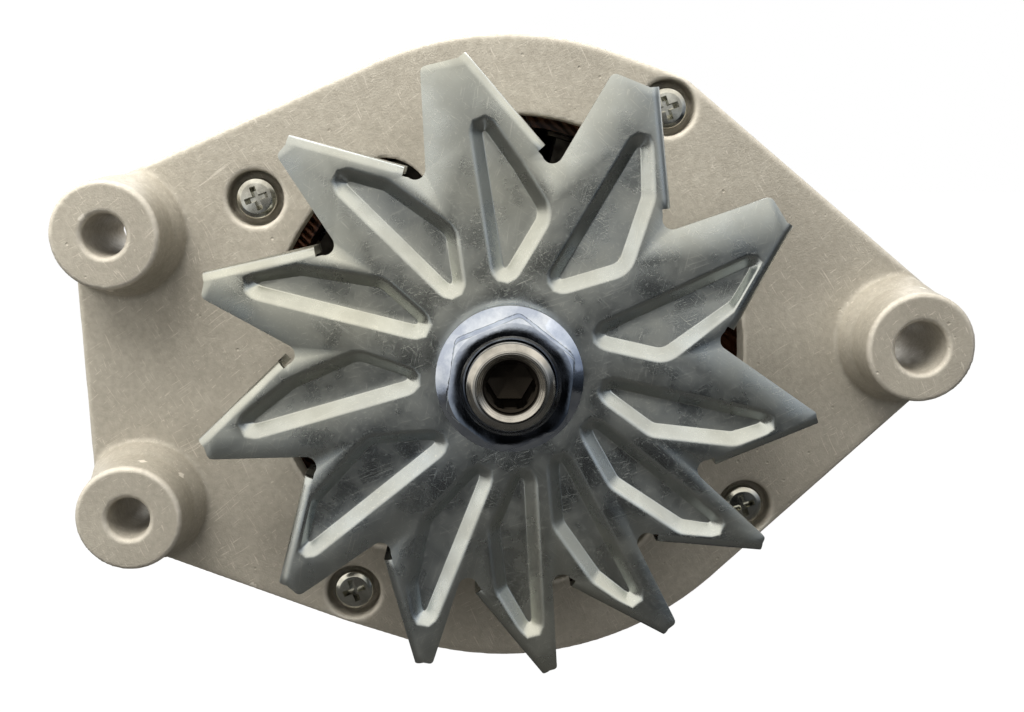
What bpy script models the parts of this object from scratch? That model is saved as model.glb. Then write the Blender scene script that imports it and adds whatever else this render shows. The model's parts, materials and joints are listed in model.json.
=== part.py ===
"""Alternator head with an external star fan, modelled piece by piece.

Every piece is modelled standing up: local Z runs along the shaft towards the drive end, local X
points right and local Y up, as seen from the drive end. Height 0 is the plane of the three ears'
front faces. One empty at the origin then tips the whole machine so that the drive end faces -Y.
Sizes are in metres, angles in degrees, counted from +X towards +Y.
"""
from math import acos, asin, atan2, ceil, cos, degrees, hypot, pi, radians, sin

import bmesh
import bpy
from mathutils import Matrix, Vector
from mathutils.geometry import delaunay_2d_cdt

# Clearances
SEAT_GAP = 0.0003
AIR_GAP = 0.0004
RUNNING_GAP = 0.002

# How round things are
LARGE_ROUND = 36
SMALL_ROUND = 20
BOLT_ROUND = 12
TINY_ROUND = 8
ARC_STEP = 10.0

# Drive-end bracket
PLATE_RADIUS = 0.0652
PLATE_SETBACK = 0.0128
PLATE_THICKNESS = 0.008
PLATE_EDGE = 0.0008
WEB_THICKNESS = 0.007
SHELL_STEP = 0.0006
SHELL_WALL = 0.0086
EAR_LENGTH = 0.027
EAR_DRAFT = 0.0009
EAR_EDGE = 0.0005
EAR_RIB_WIDTH = 0.007
BORE_CHAMFER = 0.0006
UPPER_EAR = (-0.0775, 0.0255)
LOWER_EAR = (-0.0754, -0.0306)
RIGHT_EAR = (0.0820, 0.0038)
LEFT_EAR_RADIUS = 0.01055
LEFT_BORE_RADIUS = 0.0042
LEFT_LUG_RADIUS = 0.0102
RIGHT_EAR_RADIUS = 0.0109
RIGHT_BORE_RADIUS = 0.0052
RIGHT_LUG_RADIUS = 0.0119
HUB_FRONT_HEIGHT = 0.003
HUB_FRONT_RADIUS = 0.0275
HUB_WALL = 0.0072
HUB_LIP = 0.0025
HUB_LIP_GAP = 0.002
VENT_COUNT = 5
VENT_INNER_RADIUS = 0.035
VENT_RIM_WIDTH = 0.0066
VENT_FIRST_SPOKE = 36.0
VENT_SPOKE_WIDTH = 14.0

# Through bolts
BOLT_COUNT = 4
BOLT_CIRCLE_INSET = 0.0051
BOLT_FIRST_ANGLE = 147.5
BOLT_BOSS_RADIUS = 0.0069
BOLT_RADIUS = 0.0025
BOLT_HEAD_RADIUS = 0.00415
BOLT_HEAD_HEIGHT = 0.0036
BOLT_HEAD_SINK = 0.0008
BOLT_COUNTERBORE_RADIUS = 0.0056
BOLT_RIM_CHAMFER = 0.0005
BOLT_GRIP_IN_REAR = 0.022
RECESS_WIDTH = 0.0009
RECESS_SPAN = 0.0046
RECESS_DEPTH = 0.0018

# Front bearing, 17 x 47 x 14
FRONT_BEARING_BORE = 0.0085
FRONT_BEARING_RADIUS = 0.0235
FRONT_BEARING_HEIGHT = 0.014
FRONT_BALL_RADIUS = 0.00435
FRONT_BALL_COUNT = 8
RETAINER_THICKNESS = 0.002
RETAINER_BORE_RADIUS = 0.015
RETAINER_SCREW_COUNT = 3
RETAINER_SCREW_FIRST = 90.0
RETAINER_SCREW_RADIUS = 0.002
RETAINER_SCREW_HEAD = 0.0033
RETAINER_SCREW_HEAD_HEIGHT = 0.0022
RETAINER_SCREW_GRIP = 0.0085

# Rear bearing, 15 x 35 x 11, in a plastic sleeve
REAR_BEARING_BORE = 0.0075
REAR_BEARING_RADIUS = 0.0175
REAR_BEARING_HEIGHT = 0.011
REAR_BALL_RADIUS = 0.003
REAR_BALL_COUNT = 8
REAR_SLEEVE_WALL = 0.0015
REAR_HUB_WALL = 0.0045
REAR_LIP = 0.0021
REAR_LIP_RADIUS = 0.011

# Shaft
SHAFT_TIP_HEIGHT = 0.0232
SHAFT_THREAD_RADIUS = 0.008
SHAFT_TIP_CHAMFER = 0.001
SHAFT_CORE_RADIUS = 0.010
SLIP_SHAFT_RADIUS = 0.0045
SOCKET_RADIUS = 0.00545
SOCKET_COUNTERSINK = 0.0012
SOCKET_ACROSS_FLATS = 0.008
SOCKET_DEPTH = 0.011

# Fan
FAN_FACE_HEIGHT = 0.0105
FAN_SHEET = 0.0015
FLAP_TIP_RADIUS = 0.0599
SLOT_CIRCLE_SHARE = 0.703
SLOT_RADIUS = 0.00195
FIRST_SLOT_ANGLE = 114.4
PETAL_PITCHES = (35.0, 35.0, 35.0, 35.0, 25.0, 25.0, 25.0, 25.0, 30.0, 30.0, 30.0, 30.0)
PLAIN_TIP_LAGS = (8.3, 7.8, 9.5, 16.3, 6.9, 5.5, 5.0, 3.9, 7.6, 8.7, 8.9, 8.2)
PLAIN_TIP_SHARE = 0.982
FLAP_TIP_LEADS = (18.4, 18.6, 18.5, 16.5, 15.4, 16.1, 17.1, 17.9, 18.0, 17.4, 16.8, 17.8)
FLAP_BEND_RADIUS = 0.0018
FLAP_STEP = 0.0012
FLAP_DEPTH_AT_TIP = 0.0045
FLAP_DEPTH_AT_SLOT = 0.0125
POCKET_DEPTH = 0.0025
POCKET_WALL = 0.0026
POCKET_CORNER = 0.0012
POCKET_BEND_GAP = 0.0003

# Each sunk field's tip, hub, waist and shoulder: share of the fan's radius, degrees past the next slot
POCKET_CORNERS = (
    ((0.776, 17.0), (0.326, 13.4), (0.516, 0.4), (0.643, 10.0)),
    ((0.826, 16.6), (0.334, 18.8), (0.492, 1.8), (0.691, 9.6)),
    ((0.835, 15.2), (0.316, 14.5), (0.491, 0.5), (0.735, 9.4)),
    ((0.831, 15.0), (0.304, 18.4), (0.487, 7.0), (0.735, 11.1)),
    ((0.826, 14.2), (0.297, 18.8), (0.484, 7.2), (0.735, 10.5)),
    ((0.840, 14.5), (0.307, 16.8), (0.509, 6.2), (0.710, 10.3)),
    ((0.840, 15.8), (0.319, 19.0), (0.499, 7.6), (0.693, 10.3)),
    ((0.840, 16.6), (0.312, 20.5), (0.543, 8.5), (0.738, 12.6)),
    ((0.851, 16.2), (0.307, 18.9), (0.487, 3.0), (0.743, 10.2)),
    ((0.840, 16.8), (0.307, 8.0), (0.474, 0.3), (0.676, 9.4)),
    ((0.848, 15.8), (0.311, 5.9), (0.486, 1.5), (0.718, 10.0)),
    ((0.793, 15.8), (0.327, 8.1), (0.482, 0.0), (0.693, 9.8)))
SPACER_WALL = 0.0032
SPACER_FLANGE_RADIUS = 0.0150
SPACER_FLANGE_HEIGHT = 0.003

# Flange nut, 22 mm across flats
NUT_ACROSS_FLATS = 0.022
NUT_FLAT_ANGLE = 82.3
NUT_FLANGE_RADIUS = 0.0137
NUT_FLANGE_HEIGHT = 0.0031
NUT_HEIGHT = 0.0100
NUT_CHAMFER = 0.0011

# Rotor
POLE_COUNT = 6
POLE_SHOULDER = 0.0145
POLE_DISC_HEIGHT = 0.012
POLE_ROOT_HALF_ANGLE = 16.0
POLE_TIP_HALF_ANGLE = 6.5
POLE_TIP_THICKNESS = 0.0055
POLE_TIP_SHORTFALL = 0.004
POLE_ROOT_DEPTH = 0.0025
COIL_HEIGHT = 0.020
COIL_CORE_RADIUS = 0.0165
BOBBIN_WALL = 0.0012
BOBBIN_OVERHANG = 0.002
COIL_INSET = 0.0010

# Stator
STATOR_STEP = 0.0021
STATOR_DEPTH = 0.0156
STATOR_HEIGHT = 0.030
STATOR_SLOT_COUNT = 36
STATOR_SLOT_DEPTH = 0.0076
STATOR_SLOT_WIDTH = 0.0036
WINDING_INSET = 0.0005
WINDING_OVERHANG = 0.0125

# Slip-ring end bracket
REAR_WALL = 0.006
REAR_EDGE = 0.002
REAR_VENT_COUNT = 6
REAR_VENT_FIRST = 60.0
REAR_VENT_RIB = 20.0
REAR_VENT_INNER_RADIUS = 0.029
REAR_VENT_RIM_WIDTH = 0.003
REAR_WINDING_ROOM = 0.009

# Slip rings
SLIP_RING_RADIUS = 0.0083
SLIP_RING_WIDTH = 0.007
SLIP_RING_PITCH = 0.010
SLIP_CARRIER_WALL = 0.002
SLIP_CARRIER_RIB = 0.0017

# Brushes and regulator
BRUSH_THICKNESS = 0.005
BRUSH_WIDTH = 0.008
BRUSH_LENGTH = 0.014
BRUSH_SIDE_GAP = 0.0003
SPRING_ROOM = 0.0108
SPRING_RADIUS = 0.0019
SPRING_WIRE = 0.0003
SPRING_TURNS = 5
HOLDER_WALL = 0.0035
HOLDER_RING_GAP = 0.0025
HOLDER_TOP_WALL = 0.002
HOLDER_EAR_SPAN = 0.046
HOLDER_EAR_HEIGHT = 0.010
REGULATOR_SCREW_INSET = 0.005
REGULATOR_SCREW_RADIUS = 0.002
REGULATOR_SCREW_HEAD = 0.0035
REGULATOR_SCREW_HEAD_HEIGHT = 0.0024
REGULATOR_COVER_INSET = 0.0112
REGULATOR_HEIGHT = 0.007
BLADE_WIDTH = 0.0063
BLADE_THICKNESS = 0.0008
BLADE_LENGTH = 0.015
BLADE_INSET = 0.010
BLADE_HOLE_WIDTH = 0.0126
BLADE_HOLE_HEIGHT = 0.0063

# Rectifier
HEAT_SINK_INSET = 0.0133
HEAT_SINK_WIDTH = 0.0205
HEAT_SINK_THICKNESS = 0.003
HEAT_SINK_START = 162.0
HEAT_SINK_END = 379.0
DIODE_INSET = 0.011
DIODE_RADIUS = 0.0064
DIODE_HEIGHT = 0.0072
DIODE_LEAD_RADIUS = 0.0008
DIODE_LEAD_LENGTH = 0.0055
NEGATIVE_DIODE_ANGLES = (180.0, 240.0, 300.0)
POSITIVE_DIODE_ANGLES = (210.0, 270.0, 330.0)
BOARD_THICKNESS = 0.0025
BOARD_INSET = 0.0088
BOARD_WIDTH = 0.023
BOARD_STANDOFF = 0.0067
PILLAR_RADIUS = 0.0025
PILLAR_INSET = 0.0047
PILLAR_ANGLES = (195.0, 255.0, 315.0)
LEAD_RADIUS = 0.0009
LEAD_INSET = 0.0022
LEAD_ANGLES = (210.0, 270.0, 330.0)

# Output stud, M8
STUD_RADIUS = 0.004
STUD_INSET = 0.0085
STUD_HEAD_RADIUS = 0.0062
STUD_HEAD_HEIGHT = 0.003
STUD_STICK_OUT = 0.016
STUD_BUSH_RADIUS = 0.007
STUD_BUSH_FLANGE = 0.010
STUD_BUSH_FLANGE_HEIGHT = 0.002
STUD_NUT_ACROSS_FLATS = 0.013
STUD_NUT_HEIGHT = 0.0065

# Rear cover
COVER_STEP = 0.0028
COVER_WALL = 0.002
COVER_EDGE = 0.002
COVER_HEADROOM = 0.0015
COVER_POST_RADIUS = 0.003
COVER_SCREW_INSET = 0.0053
COVER_SCREW_ANGLES = (15.0, 135.0, 255.0)
COVER_SCREW_RADIUS = 0.0015
COVER_SCREW_HEAD = 0.0028
COVER_SCREW_HEAD_HEIGHT = 0.0024
COVER_SCREW_GRIP = 0.005
COVER_SLOT_FIRST = 118.0
COVER_SLOT_LAST = 334.0
COVER_SLOT_COUNT = 19
COVER_SLOT_WIDTH = 5.0
COVER_SLOT_INNER_RADIUS = 0.018
COVER_SLOT_INSET = 0.0158

# Heights along the shaft, worked out from the sizes above
PLATE_FACE = -PLATE_SETBACK
HUB_FACE = PLATE_FACE + HUB_FRONT_HEIGHT
FRONT_BEARING_TOP = HUB_FACE - HUB_LIP - SEAT_GAP
FRONT_BEARING_FOOT = FRONT_BEARING_TOP - FRONT_BEARING_HEIGHT
RETAINER_TOP = FRONT_BEARING_FOOT - SEAT_GAP
RETAINER_FOOT = RETAINER_TOP - RETAINER_THICKNESS
ROTOR_TOP = RETAINER_FOOT - SEAT_GAP - RETAINER_SCREW_HEAD_HEIGHT - RUNNING_GAP
ROTOR_FOOT = ROTOR_TOP - 2 * POLE_DISC_HEIGHT - COIL_HEIGHT
ROTOR_MIDDLE = (ROTOR_TOP + ROTOR_FOOT) / 2
STATOR_TOP = ROTOR_MIDDLE + STATOR_HEIGHT / 2
STATOR_FOOT = ROTOR_MIDDLE - STATOR_HEIGHT / 2
FRONT_RIM = STATOR_TOP + SEAT_GAP
REAR_RIM = STATOR_FOOT - SEAT_GAP
REAR_WALL_INSIDE = STATOR_FOOT - WINDING_OVERHANG - REAR_WINDING_ROOM
REAR_FACE = REAR_WALL_INSIDE - REAR_WALL
REAR_BEARING_FOOT = REAR_FACE + REAR_LIP + SEAT_GAP
REAR_BEARING_TOP = REAR_BEARING_FOOT + REAR_BEARING_HEIGHT
SLIP_CARRIER_TOP = REAR_FACE - SEAT_GAP
FIRST_RING_TOP = SLIP_CARRIER_TOP - SLIP_CARRIER_RIB - SEAT_GAP
FIRST_BRUSH = FIRST_RING_TOP - SLIP_RING_WIDTH / 2
SECOND_BRUSH = FIRST_BRUSH - SLIP_RING_PITCH
SLIP_CARRIER_FOOT = SECOND_BRUSH - SLIP_RING_WIDTH / 2 - SEAT_GAP - SLIP_CARRIER_RIB
HOLDER_TOP = REAR_FACE - SEAT_GAP
HOLDER_FOOT = SECOND_BRUSH - BRUSH_THICKNESS / 2 - BRUSH_SIDE_GAP - HOLDER_WALL
REGULATOR_TOP = HOLDER_FOOT - SEAT_GAP
REGULATOR_FOOT = REGULATOR_TOP - REGULATOR_HEIGHT
NEGATIVE_TOP = REAR_FACE - SEAT_GAP
NEGATIVE_FOOT = NEGATIVE_TOP - HEAT_SINK_THICKNESS
BOARD_TOP = NEGATIVE_FOOT - BOARD_STANDOFF
BOARD_FOOT = BOARD_TOP - BOARD_THICKNESS
POSITIVE_TOP = BOARD_FOOT - BOARD_STANDOFF
POSITIVE_FOOT = POSITIVE_TOP - HEAT_SINK_THICKNESS
SCREW_HEAD_FOOT = REGULATOR_FOOT - SEAT_GAP - REGULATOR_SCREW_HEAD_HEIGHT
COVER_INSIDE = min(SCREW_HEAD_FOOT, POSITIVE_FOOT) - COVER_HEADROOM
COVER_FACE = COVER_INSIDE - COVER_WALL
STUD_END = COVER_FACE - STUD_STICK_OUT

# Radii that follow from the sizes above
SHELL_RADIUS = PLATE_RADIUS - SHELL_STEP
SHELL_INSIDE = SHELL_RADIUS - SHELL_WALL
BOLT_CIRCLE_RADIUS = PLATE_RADIUS - BOLT_CIRCLE_INSET
VENT_OUTER_RADIUS = SHELL_INSIDE - VENT_RIM_WIDTH
REAR_VENT_OUTER_RADIUS = SHELL_INSIDE - REAR_VENT_RIM_WIDTH
STATOR_RADIUS = SHELL_RADIUS - STATOR_STEP
STATOR_BORE = STATOR_RADIUS - STATOR_DEPTH
POLE_RADIUS = STATOR_BORE - AIR_GAP
POLE_DISC_RADIUS = POLE_RADIUS - POLE_SHOULDER
BOBBIN_FLANGE_RADIUS = POLE_DISC_RADIUS + BOBBIN_OVERHANG
SLOT_FOOT_RADIUS = STATOR_BORE + STATOR_SLOT_DEPTH
SPACER_RADIUS = FRONT_BEARING_BORE + SEAT_GAP + SPACER_WALL
SLOT_CIRCLE_RADIUS = SLOT_CIRCLE_SHARE * FLAP_TIP_RADIUS
PLAIN_TIP_RADIUS = PLAIN_TIP_SHARE * FLAP_TIP_RADIUS
HUB_BORE = FRONT_BEARING_RADIUS + SEAT_GAP
HUB_RADIUS = HUB_BORE + HUB_WALL
RETAINER_SCREW_CIRCLE = HUB_BORE + HUB_WALL / 2
REAR_SLEEVE_BORE = REAR_BEARING_RADIUS + SEAT_GAP
REAR_SLEEVE_RADIUS = REAR_SLEEVE_BORE + REAR_SLEEVE_WALL
REAR_HUB_BORE = REAR_SLEEVE_RADIUS + SEAT_GAP
REAR_HUB_RADIUS = REAR_HUB_BORE + REAR_HUB_WALL
BRUSH_FOOT = SLIP_RING_RADIUS + SEAT_GAP
HOLDER_BOTTOM = SLIP_RING_RADIUS + HOLDER_RING_GAP
BRUSH_CHANNEL_END = BRUSH_FOOT + BRUSH_LENGTH + SPRING_ROOM
HOLDER_CROWN = BRUSH_CHANNEL_END + HOLDER_TOP_WALL
REGULATOR_SCREW_HEIGHT = HOLDER_CROWN - HOLDER_EAR_HEIGHT / 2
COVER_RADIUS = SHELL_RADIUS - COVER_STEP
COVER_SCREW_CIRCLE = COVER_RADIUS - COVER_SCREW_INSET
COVER_SLOT_OUTER_RADIUS = COVER_RADIUS - COVER_SLOT_INSET
BOARD_OUTER_RADIUS = COVER_RADIUS - BOARD_INSET
BOARD_INNER_RADIUS = BOARD_OUTER_RADIUS - BOARD_WIDTH
LEAD_CIRCLE_RADIUS = BOARD_OUTER_RADIUS - LEAD_INSET
HEAT_SINK_OUTER_RADIUS = COVER_RADIUS - HEAT_SINK_INSET
HEAT_SINK_INNER_RADIUS = HEAT_SINK_OUTER_RADIUS - HEAT_SINK_WIDTH
DIODE_CIRCLE_RADIUS = HEAT_SINK_OUTER_RADIUS - DIODE_INSET
PILLAR_CIRCLE_RADIUS = HEAT_SINK_OUTER_RADIUS - PILLAR_INSET
STUD_CIRCLE_RADIUS = HEAT_SINK_OUTER_RADIUS - STUD_INSET
REGULATOR_CREST = COVER_RADIUS - REGULATOR_COVER_INSET
REGULATOR_WIDTH = HOLDER_EAR_SPAN
REGULATOR_SCREW_SPAN = HOLDER_EAR_SPAN - 2 * REGULATOR_SCREW_INSET
ROD_CLEARANCE = 2 * SEAT_GAP


def clear_scene():
    for item in list(bpy.data.objects):
        bpy.data.objects.remove(item, do_unlink=True)


def new_collection(name):
    group = bpy.data.collections.new(name)
    bpy.context.scene.collection.children.link(group)
    return group


def finish(name, colour, metallic, roughness):
    material = bpy.data.materials.new(name)
    material.use_nodes = True
    shader = material.node_tree.nodes["Principled BSDF"]
    shader.inputs["Base Color"].default_value = (*colour, 1.0)
    shader.inputs["Metallic"].default_value = metallic
    shader.inputs["Roughness"].default_value = roughness
    material.diffuse_color = (*colour, 1.0)
    return material


def empty(name, parent=None, location=(0, 0, 0), rotation=(0, 0, 0)):
    item = bpy.data.objects.new(name, None)
    item.parent = parent
    item.location = location
    item.rotation_euler = rotation
    PARTS.objects.link(item)
    return item


def place(name, mesh, look=None, parent=None, location=(0, 0, 0), rotation=(0, 0, 0)):
    """Adds a mesh as a piece, or as a tool for cuts and joins when it has no look."""
    item = bpy.data.objects.new(name, mesh)
    item.parent = parent or MACHINE
    item.location = location
    item.rotation_euler = rotation
    if look:
        mesh.materials.append(look)
        PARTS.objects.link(item)
    else:
        TOOLS.objects.link(item)
        item.hide_render = True
        item.display_type = "WIRE"
    return item


def mesh_from(name, shape):
    bmesh.ops.recalc_face_normals(shape, faces=shape.faces)
    mesh = bpy.data.meshes.new(name)
    shape.to_mesh(mesh)
    shape.free()
    return mesh


def polar(radius, angle):
    return (radius * cos(radians(angle)), radius * sin(radians(angle)))


def arc(centre, radius, start, end, step=ARC_STEP):
    """Points along an arc from start to end, both included."""
    count = max(1, ceil(abs(end - start) / step - 1e-6))
    turns = [start + (end - start) * index / count for index in range(count + 1)]
    return [(centre[0] + polar(radius, turn)[0], centre[1] + polar(radius, turn)[1]) for turn in turns]


def ring(centre, radius, steps):
    return arc(centre, radius, 0, 360, 360 / steps)[:-1]


def sector(inner, outer, start, end):
    return arc((0, 0), outer, start, end) + arc((0, 0), inner, end, start)


def turned(name, profile, look=None, parent=None, steps=LARGE_ROUND, location=(0, 0, 0)):
    """Turns a profile of (radius, height) round local Z: down the outside, then up the bore."""
    mesh = bpy.data.meshes.new(name)
    count = len(profile)
    on_axis = profile[0][0] == 0 and profile[-1][0] == 0
    edges = [(index, (index + 1) % count) for index in range(count - 1 if on_axis else count)]
    mesh.from_pydata([(radius, 0, height) for radius, height in profile], edges, [])
    item = place(name, mesh, look, parent, location)
    screw = item.modifiers.new("turn", "SCREW")
    screw.steps = steps
    screw.render_steps = steps
    screw.use_merge_vertices = True
    screw.merge_threshold = 0.00001
    screw.use_smooth_shade = False
    return item


def tube(name, outer, inner, top, foot, look=None, parent=None, steps=LARGE_ROUND):
    profile = [(outer, top), (outer, foot), (inner, foot), (inner, top)]
    return turned(name, profile, look, parent, steps)


def rod(name, radius, top, foot, look=None, at=(0, 0), parent=None, steps=SMALL_ROUND, turn=0.0):
    """A straight cylinder, or a prism when it has few steps."""
    shape = bmesh.new()
    bmesh.ops.create_cone(
        shape, cap_ends=True, segments=steps, radius1=radius, radius2=radius, depth=top - foot)
    centre = (at[0], at[1], (top + foot) / 2)
    return place(name, mesh_from(name, shape), look, parent, centre, (0, 0, radians(turn)))


def block(name, low, high, look=None, parent=None, turn=0.0):
    shape = bmesh.new()
    bmesh.ops.create_cube(shape, size=1.0)
    size = [high[axis] - low[axis] for axis in range(3)]
    centre = Vector([(high[axis] + low[axis]) / 2 for axis in range(3)])
    bmesh.ops.scale(shape, vec=size, verts=shape.verts)
    bmesh.ops.translate(shape, vec=centre, verts=shape.verts)
    return place(name, mesh_from(name, shape), look, parent, (0, 0, 0), (0, 0, radians(turn)))


def slab(name, loops, top, foot, look=None, parent=None, location=(0, 0)):
    """A flat piece cut to closed outlines: loops inside another loop are its holes."""
    curve = bpy.data.curves.new(name, "CURVE")
    curve.dimensions = "2D"
    curve.fill_mode = "BOTH"
    curve.extrude = (top - foot) / 2
    for loop in loops:
        spline = curve.splines.new("POLY")
        spline.points.add(len(loop) - 1)
        for point, (x, y) in zip(spline.points, loop):
            point.co = (x, y, 0, 1)
        spline.use_cyclic_u = True
    guide = bpy.data.objects.new(name + "_outline", curve)
    bpy.context.scene.collection.objects.link(guide)
    bpy.context.view_layer.update()
    graph = bpy.context.evaluated_depsgraph_get()
    mesh = bpy.data.meshes.new_from_object(guide.evaluated_get(graph))
    bpy.data.objects.remove(guide, do_unlink=True)
    shape = bmesh.new()
    shape.from_mesh(mesh)
    bmesh.ops.remove_doubles(shape, verts=shape.verts, dist=0.000001)
    mesh.materials.clear()
    solid = mesh_from(name, shape)
    return place(name, solid, look, parent, (*location, (top + foot) / 2))


def combine(target, tool, operation):
    step = target.modifiers.new(operation.lower(), "BOOLEAN")
    step.operation = operation
    step.object = tool
    return target


def cut(target, *tools):
    for tool in tools:
        combine(target, tool, "DIFFERENCE")
    return target


def add(target, *tools):
    for tool in tools:
        combine(target, tool, "UNION")
    return target


def wrapped(circles):
    """The outline of a belt pulled tight round circles given as (centre, radius, steps)."""
    points = sorted({point for centre, radius, steps in circles for point in ring(centre, radius, steps)})

    def half(ordered):
        chain = []
        for point in ordered:
            while len(chain) > 1:
                (ax, ay), (bx, by) = chain[-2], chain[-1]
                if (bx - ax) * (point[1] - ay) - (by - ay) * (point[0] - ax) > 1e-12:
                    break
                chain.pop()
            chain.append(point)
        return chain[:-1]

    return half(points) + half(reversed(points))


def grown(points, wall):
    """A closed outline moved outward by wall, with its sharp corners kept short."""
    corners = [Vector(point) for point in points]
    moved = []
    for index, corner in enumerate(corners):
        before = (corner - corners[index - 1]).normalized()
        after = (corners[(index + 1) % len(corners)] - corner).normalized()
        normal = Vector((before.y + after.y, -before.x - after.x)).normalized()
        reach = wall / max(0.85, normal.dot(Vector((after.y, -after.x))))
        moved.append(corner + normal * reach)
    return moved


def loft(sections):
    """A closed body through sections of equal point count."""
    shape = bmesh.new()
    rows = [[shape.verts.new(point) for point in section] for section in sections]
    shape.faces.new(rows[0])
    shape.faces.new(rows[-1])
    for upper, lower in zip(rows, rows[1:]):
        for index in range(len(upper)):
            shape.faces.new((upper[index - 1], upper[index], lower[index], lower[index - 1]))
    return shape


def bolt_angles():
    return [BOLT_FIRST_ANGLE - index * 360 / BOLT_COUNT for index in range(BOLT_COUNT)]


def sectors(inner, outer, first_rib, rib_width, count):
    """Openings between equally spaced ribs."""
    pitch = 360 / count
    starts = [first_rib + rib_width / 2 + index * pitch for index in range(count)]
    return [sector(inner, outer, start, start + pitch - rib_width) for start in starts]


def headed_screw(name, at, head, head_height, head_top, shank, length, look, toward=1, recess=True):
    """A cheese-head screw standing on its shank; toward is 1 when the head faces the drive end."""
    seat = head_top - toward * head_height
    end = seat - toward * length
    if toward > 0:
        profile = [(0, head_top), (head, head_top), (head, seat), (shank, seat), (shank, end), (0, end)]
    else:
        profile = [(0, end), (shank, end), (shank, seat), (head, seat), (head, head_top), (0, head_top)]
    screw = turned(name, profile, look, None, BOLT_ROUND if recess else TINY_ROUND, (*at, 0))
    if recess:
        for index, turn in enumerate((0, pi / 2)):
            slot = block(f"{name}_recess_{index}", (-RECESS_SPAN / 2, -RECESS_WIDTH / 2, -RECESS_DEPTH),
                         (RECESS_SPAN / 2, RECESS_WIDTH / 2, RECESS_DEPTH))
            slot.location = (*at, head_top)
            slot.rotation_euler = (0, 0, turn + radians(20))
            cut(screw, slot)
    return screw


def ear_boss(name, centre, radius):
    profile = [
        (0, 0), (radius - EAR_EDGE, 0), (radius, -EAR_EDGE), (radius + EAR_DRAFT, PLATE_FACE),
        (radius + EAR_DRAFT, EAR_EDGE - EAR_LENGTH), (radius + EAR_DRAFT - EAR_EDGE, -EAR_LENGTH),
        (0, -EAR_LENGTH)]
    return turned(name, profile, steps=SMALL_ROUND, location=(*centre, 0))


def ear_bore(name, centre, radius):
    flare = radius + 2 * BORE_CHAMFER
    profile = [
        (0, BORE_CHAMFER), (flare, BORE_CHAMFER), (radius, -BORE_CHAMFER),
        (radius, BORE_CHAMFER - EAR_LENGTH), (flare, -BORE_CHAMFER - EAR_LENGTH),
        (0, -BORE_CHAMFER - EAR_LENGTH)]
    return turned(name, profile, steps=SMALL_ROUND, location=(*centre, 0))


def ear_rib(name, centre):
    """The web behind the plate that ties an ear to the round shell."""
    reach = hypot(*centre)
    low = (SHELL_INSIDE + SHELL_WALL / 2, -EAR_RIB_WIDTH / 2, EAR_EDGE - EAR_LENGTH)
    high = (reach, EAR_RIB_WIDTH / 2, PLATE_FACE - PLATE_THICKNESS / 2)
    return block(name, low, high, turn=degrees(atan2(centre[1], centre[0])))


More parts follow.
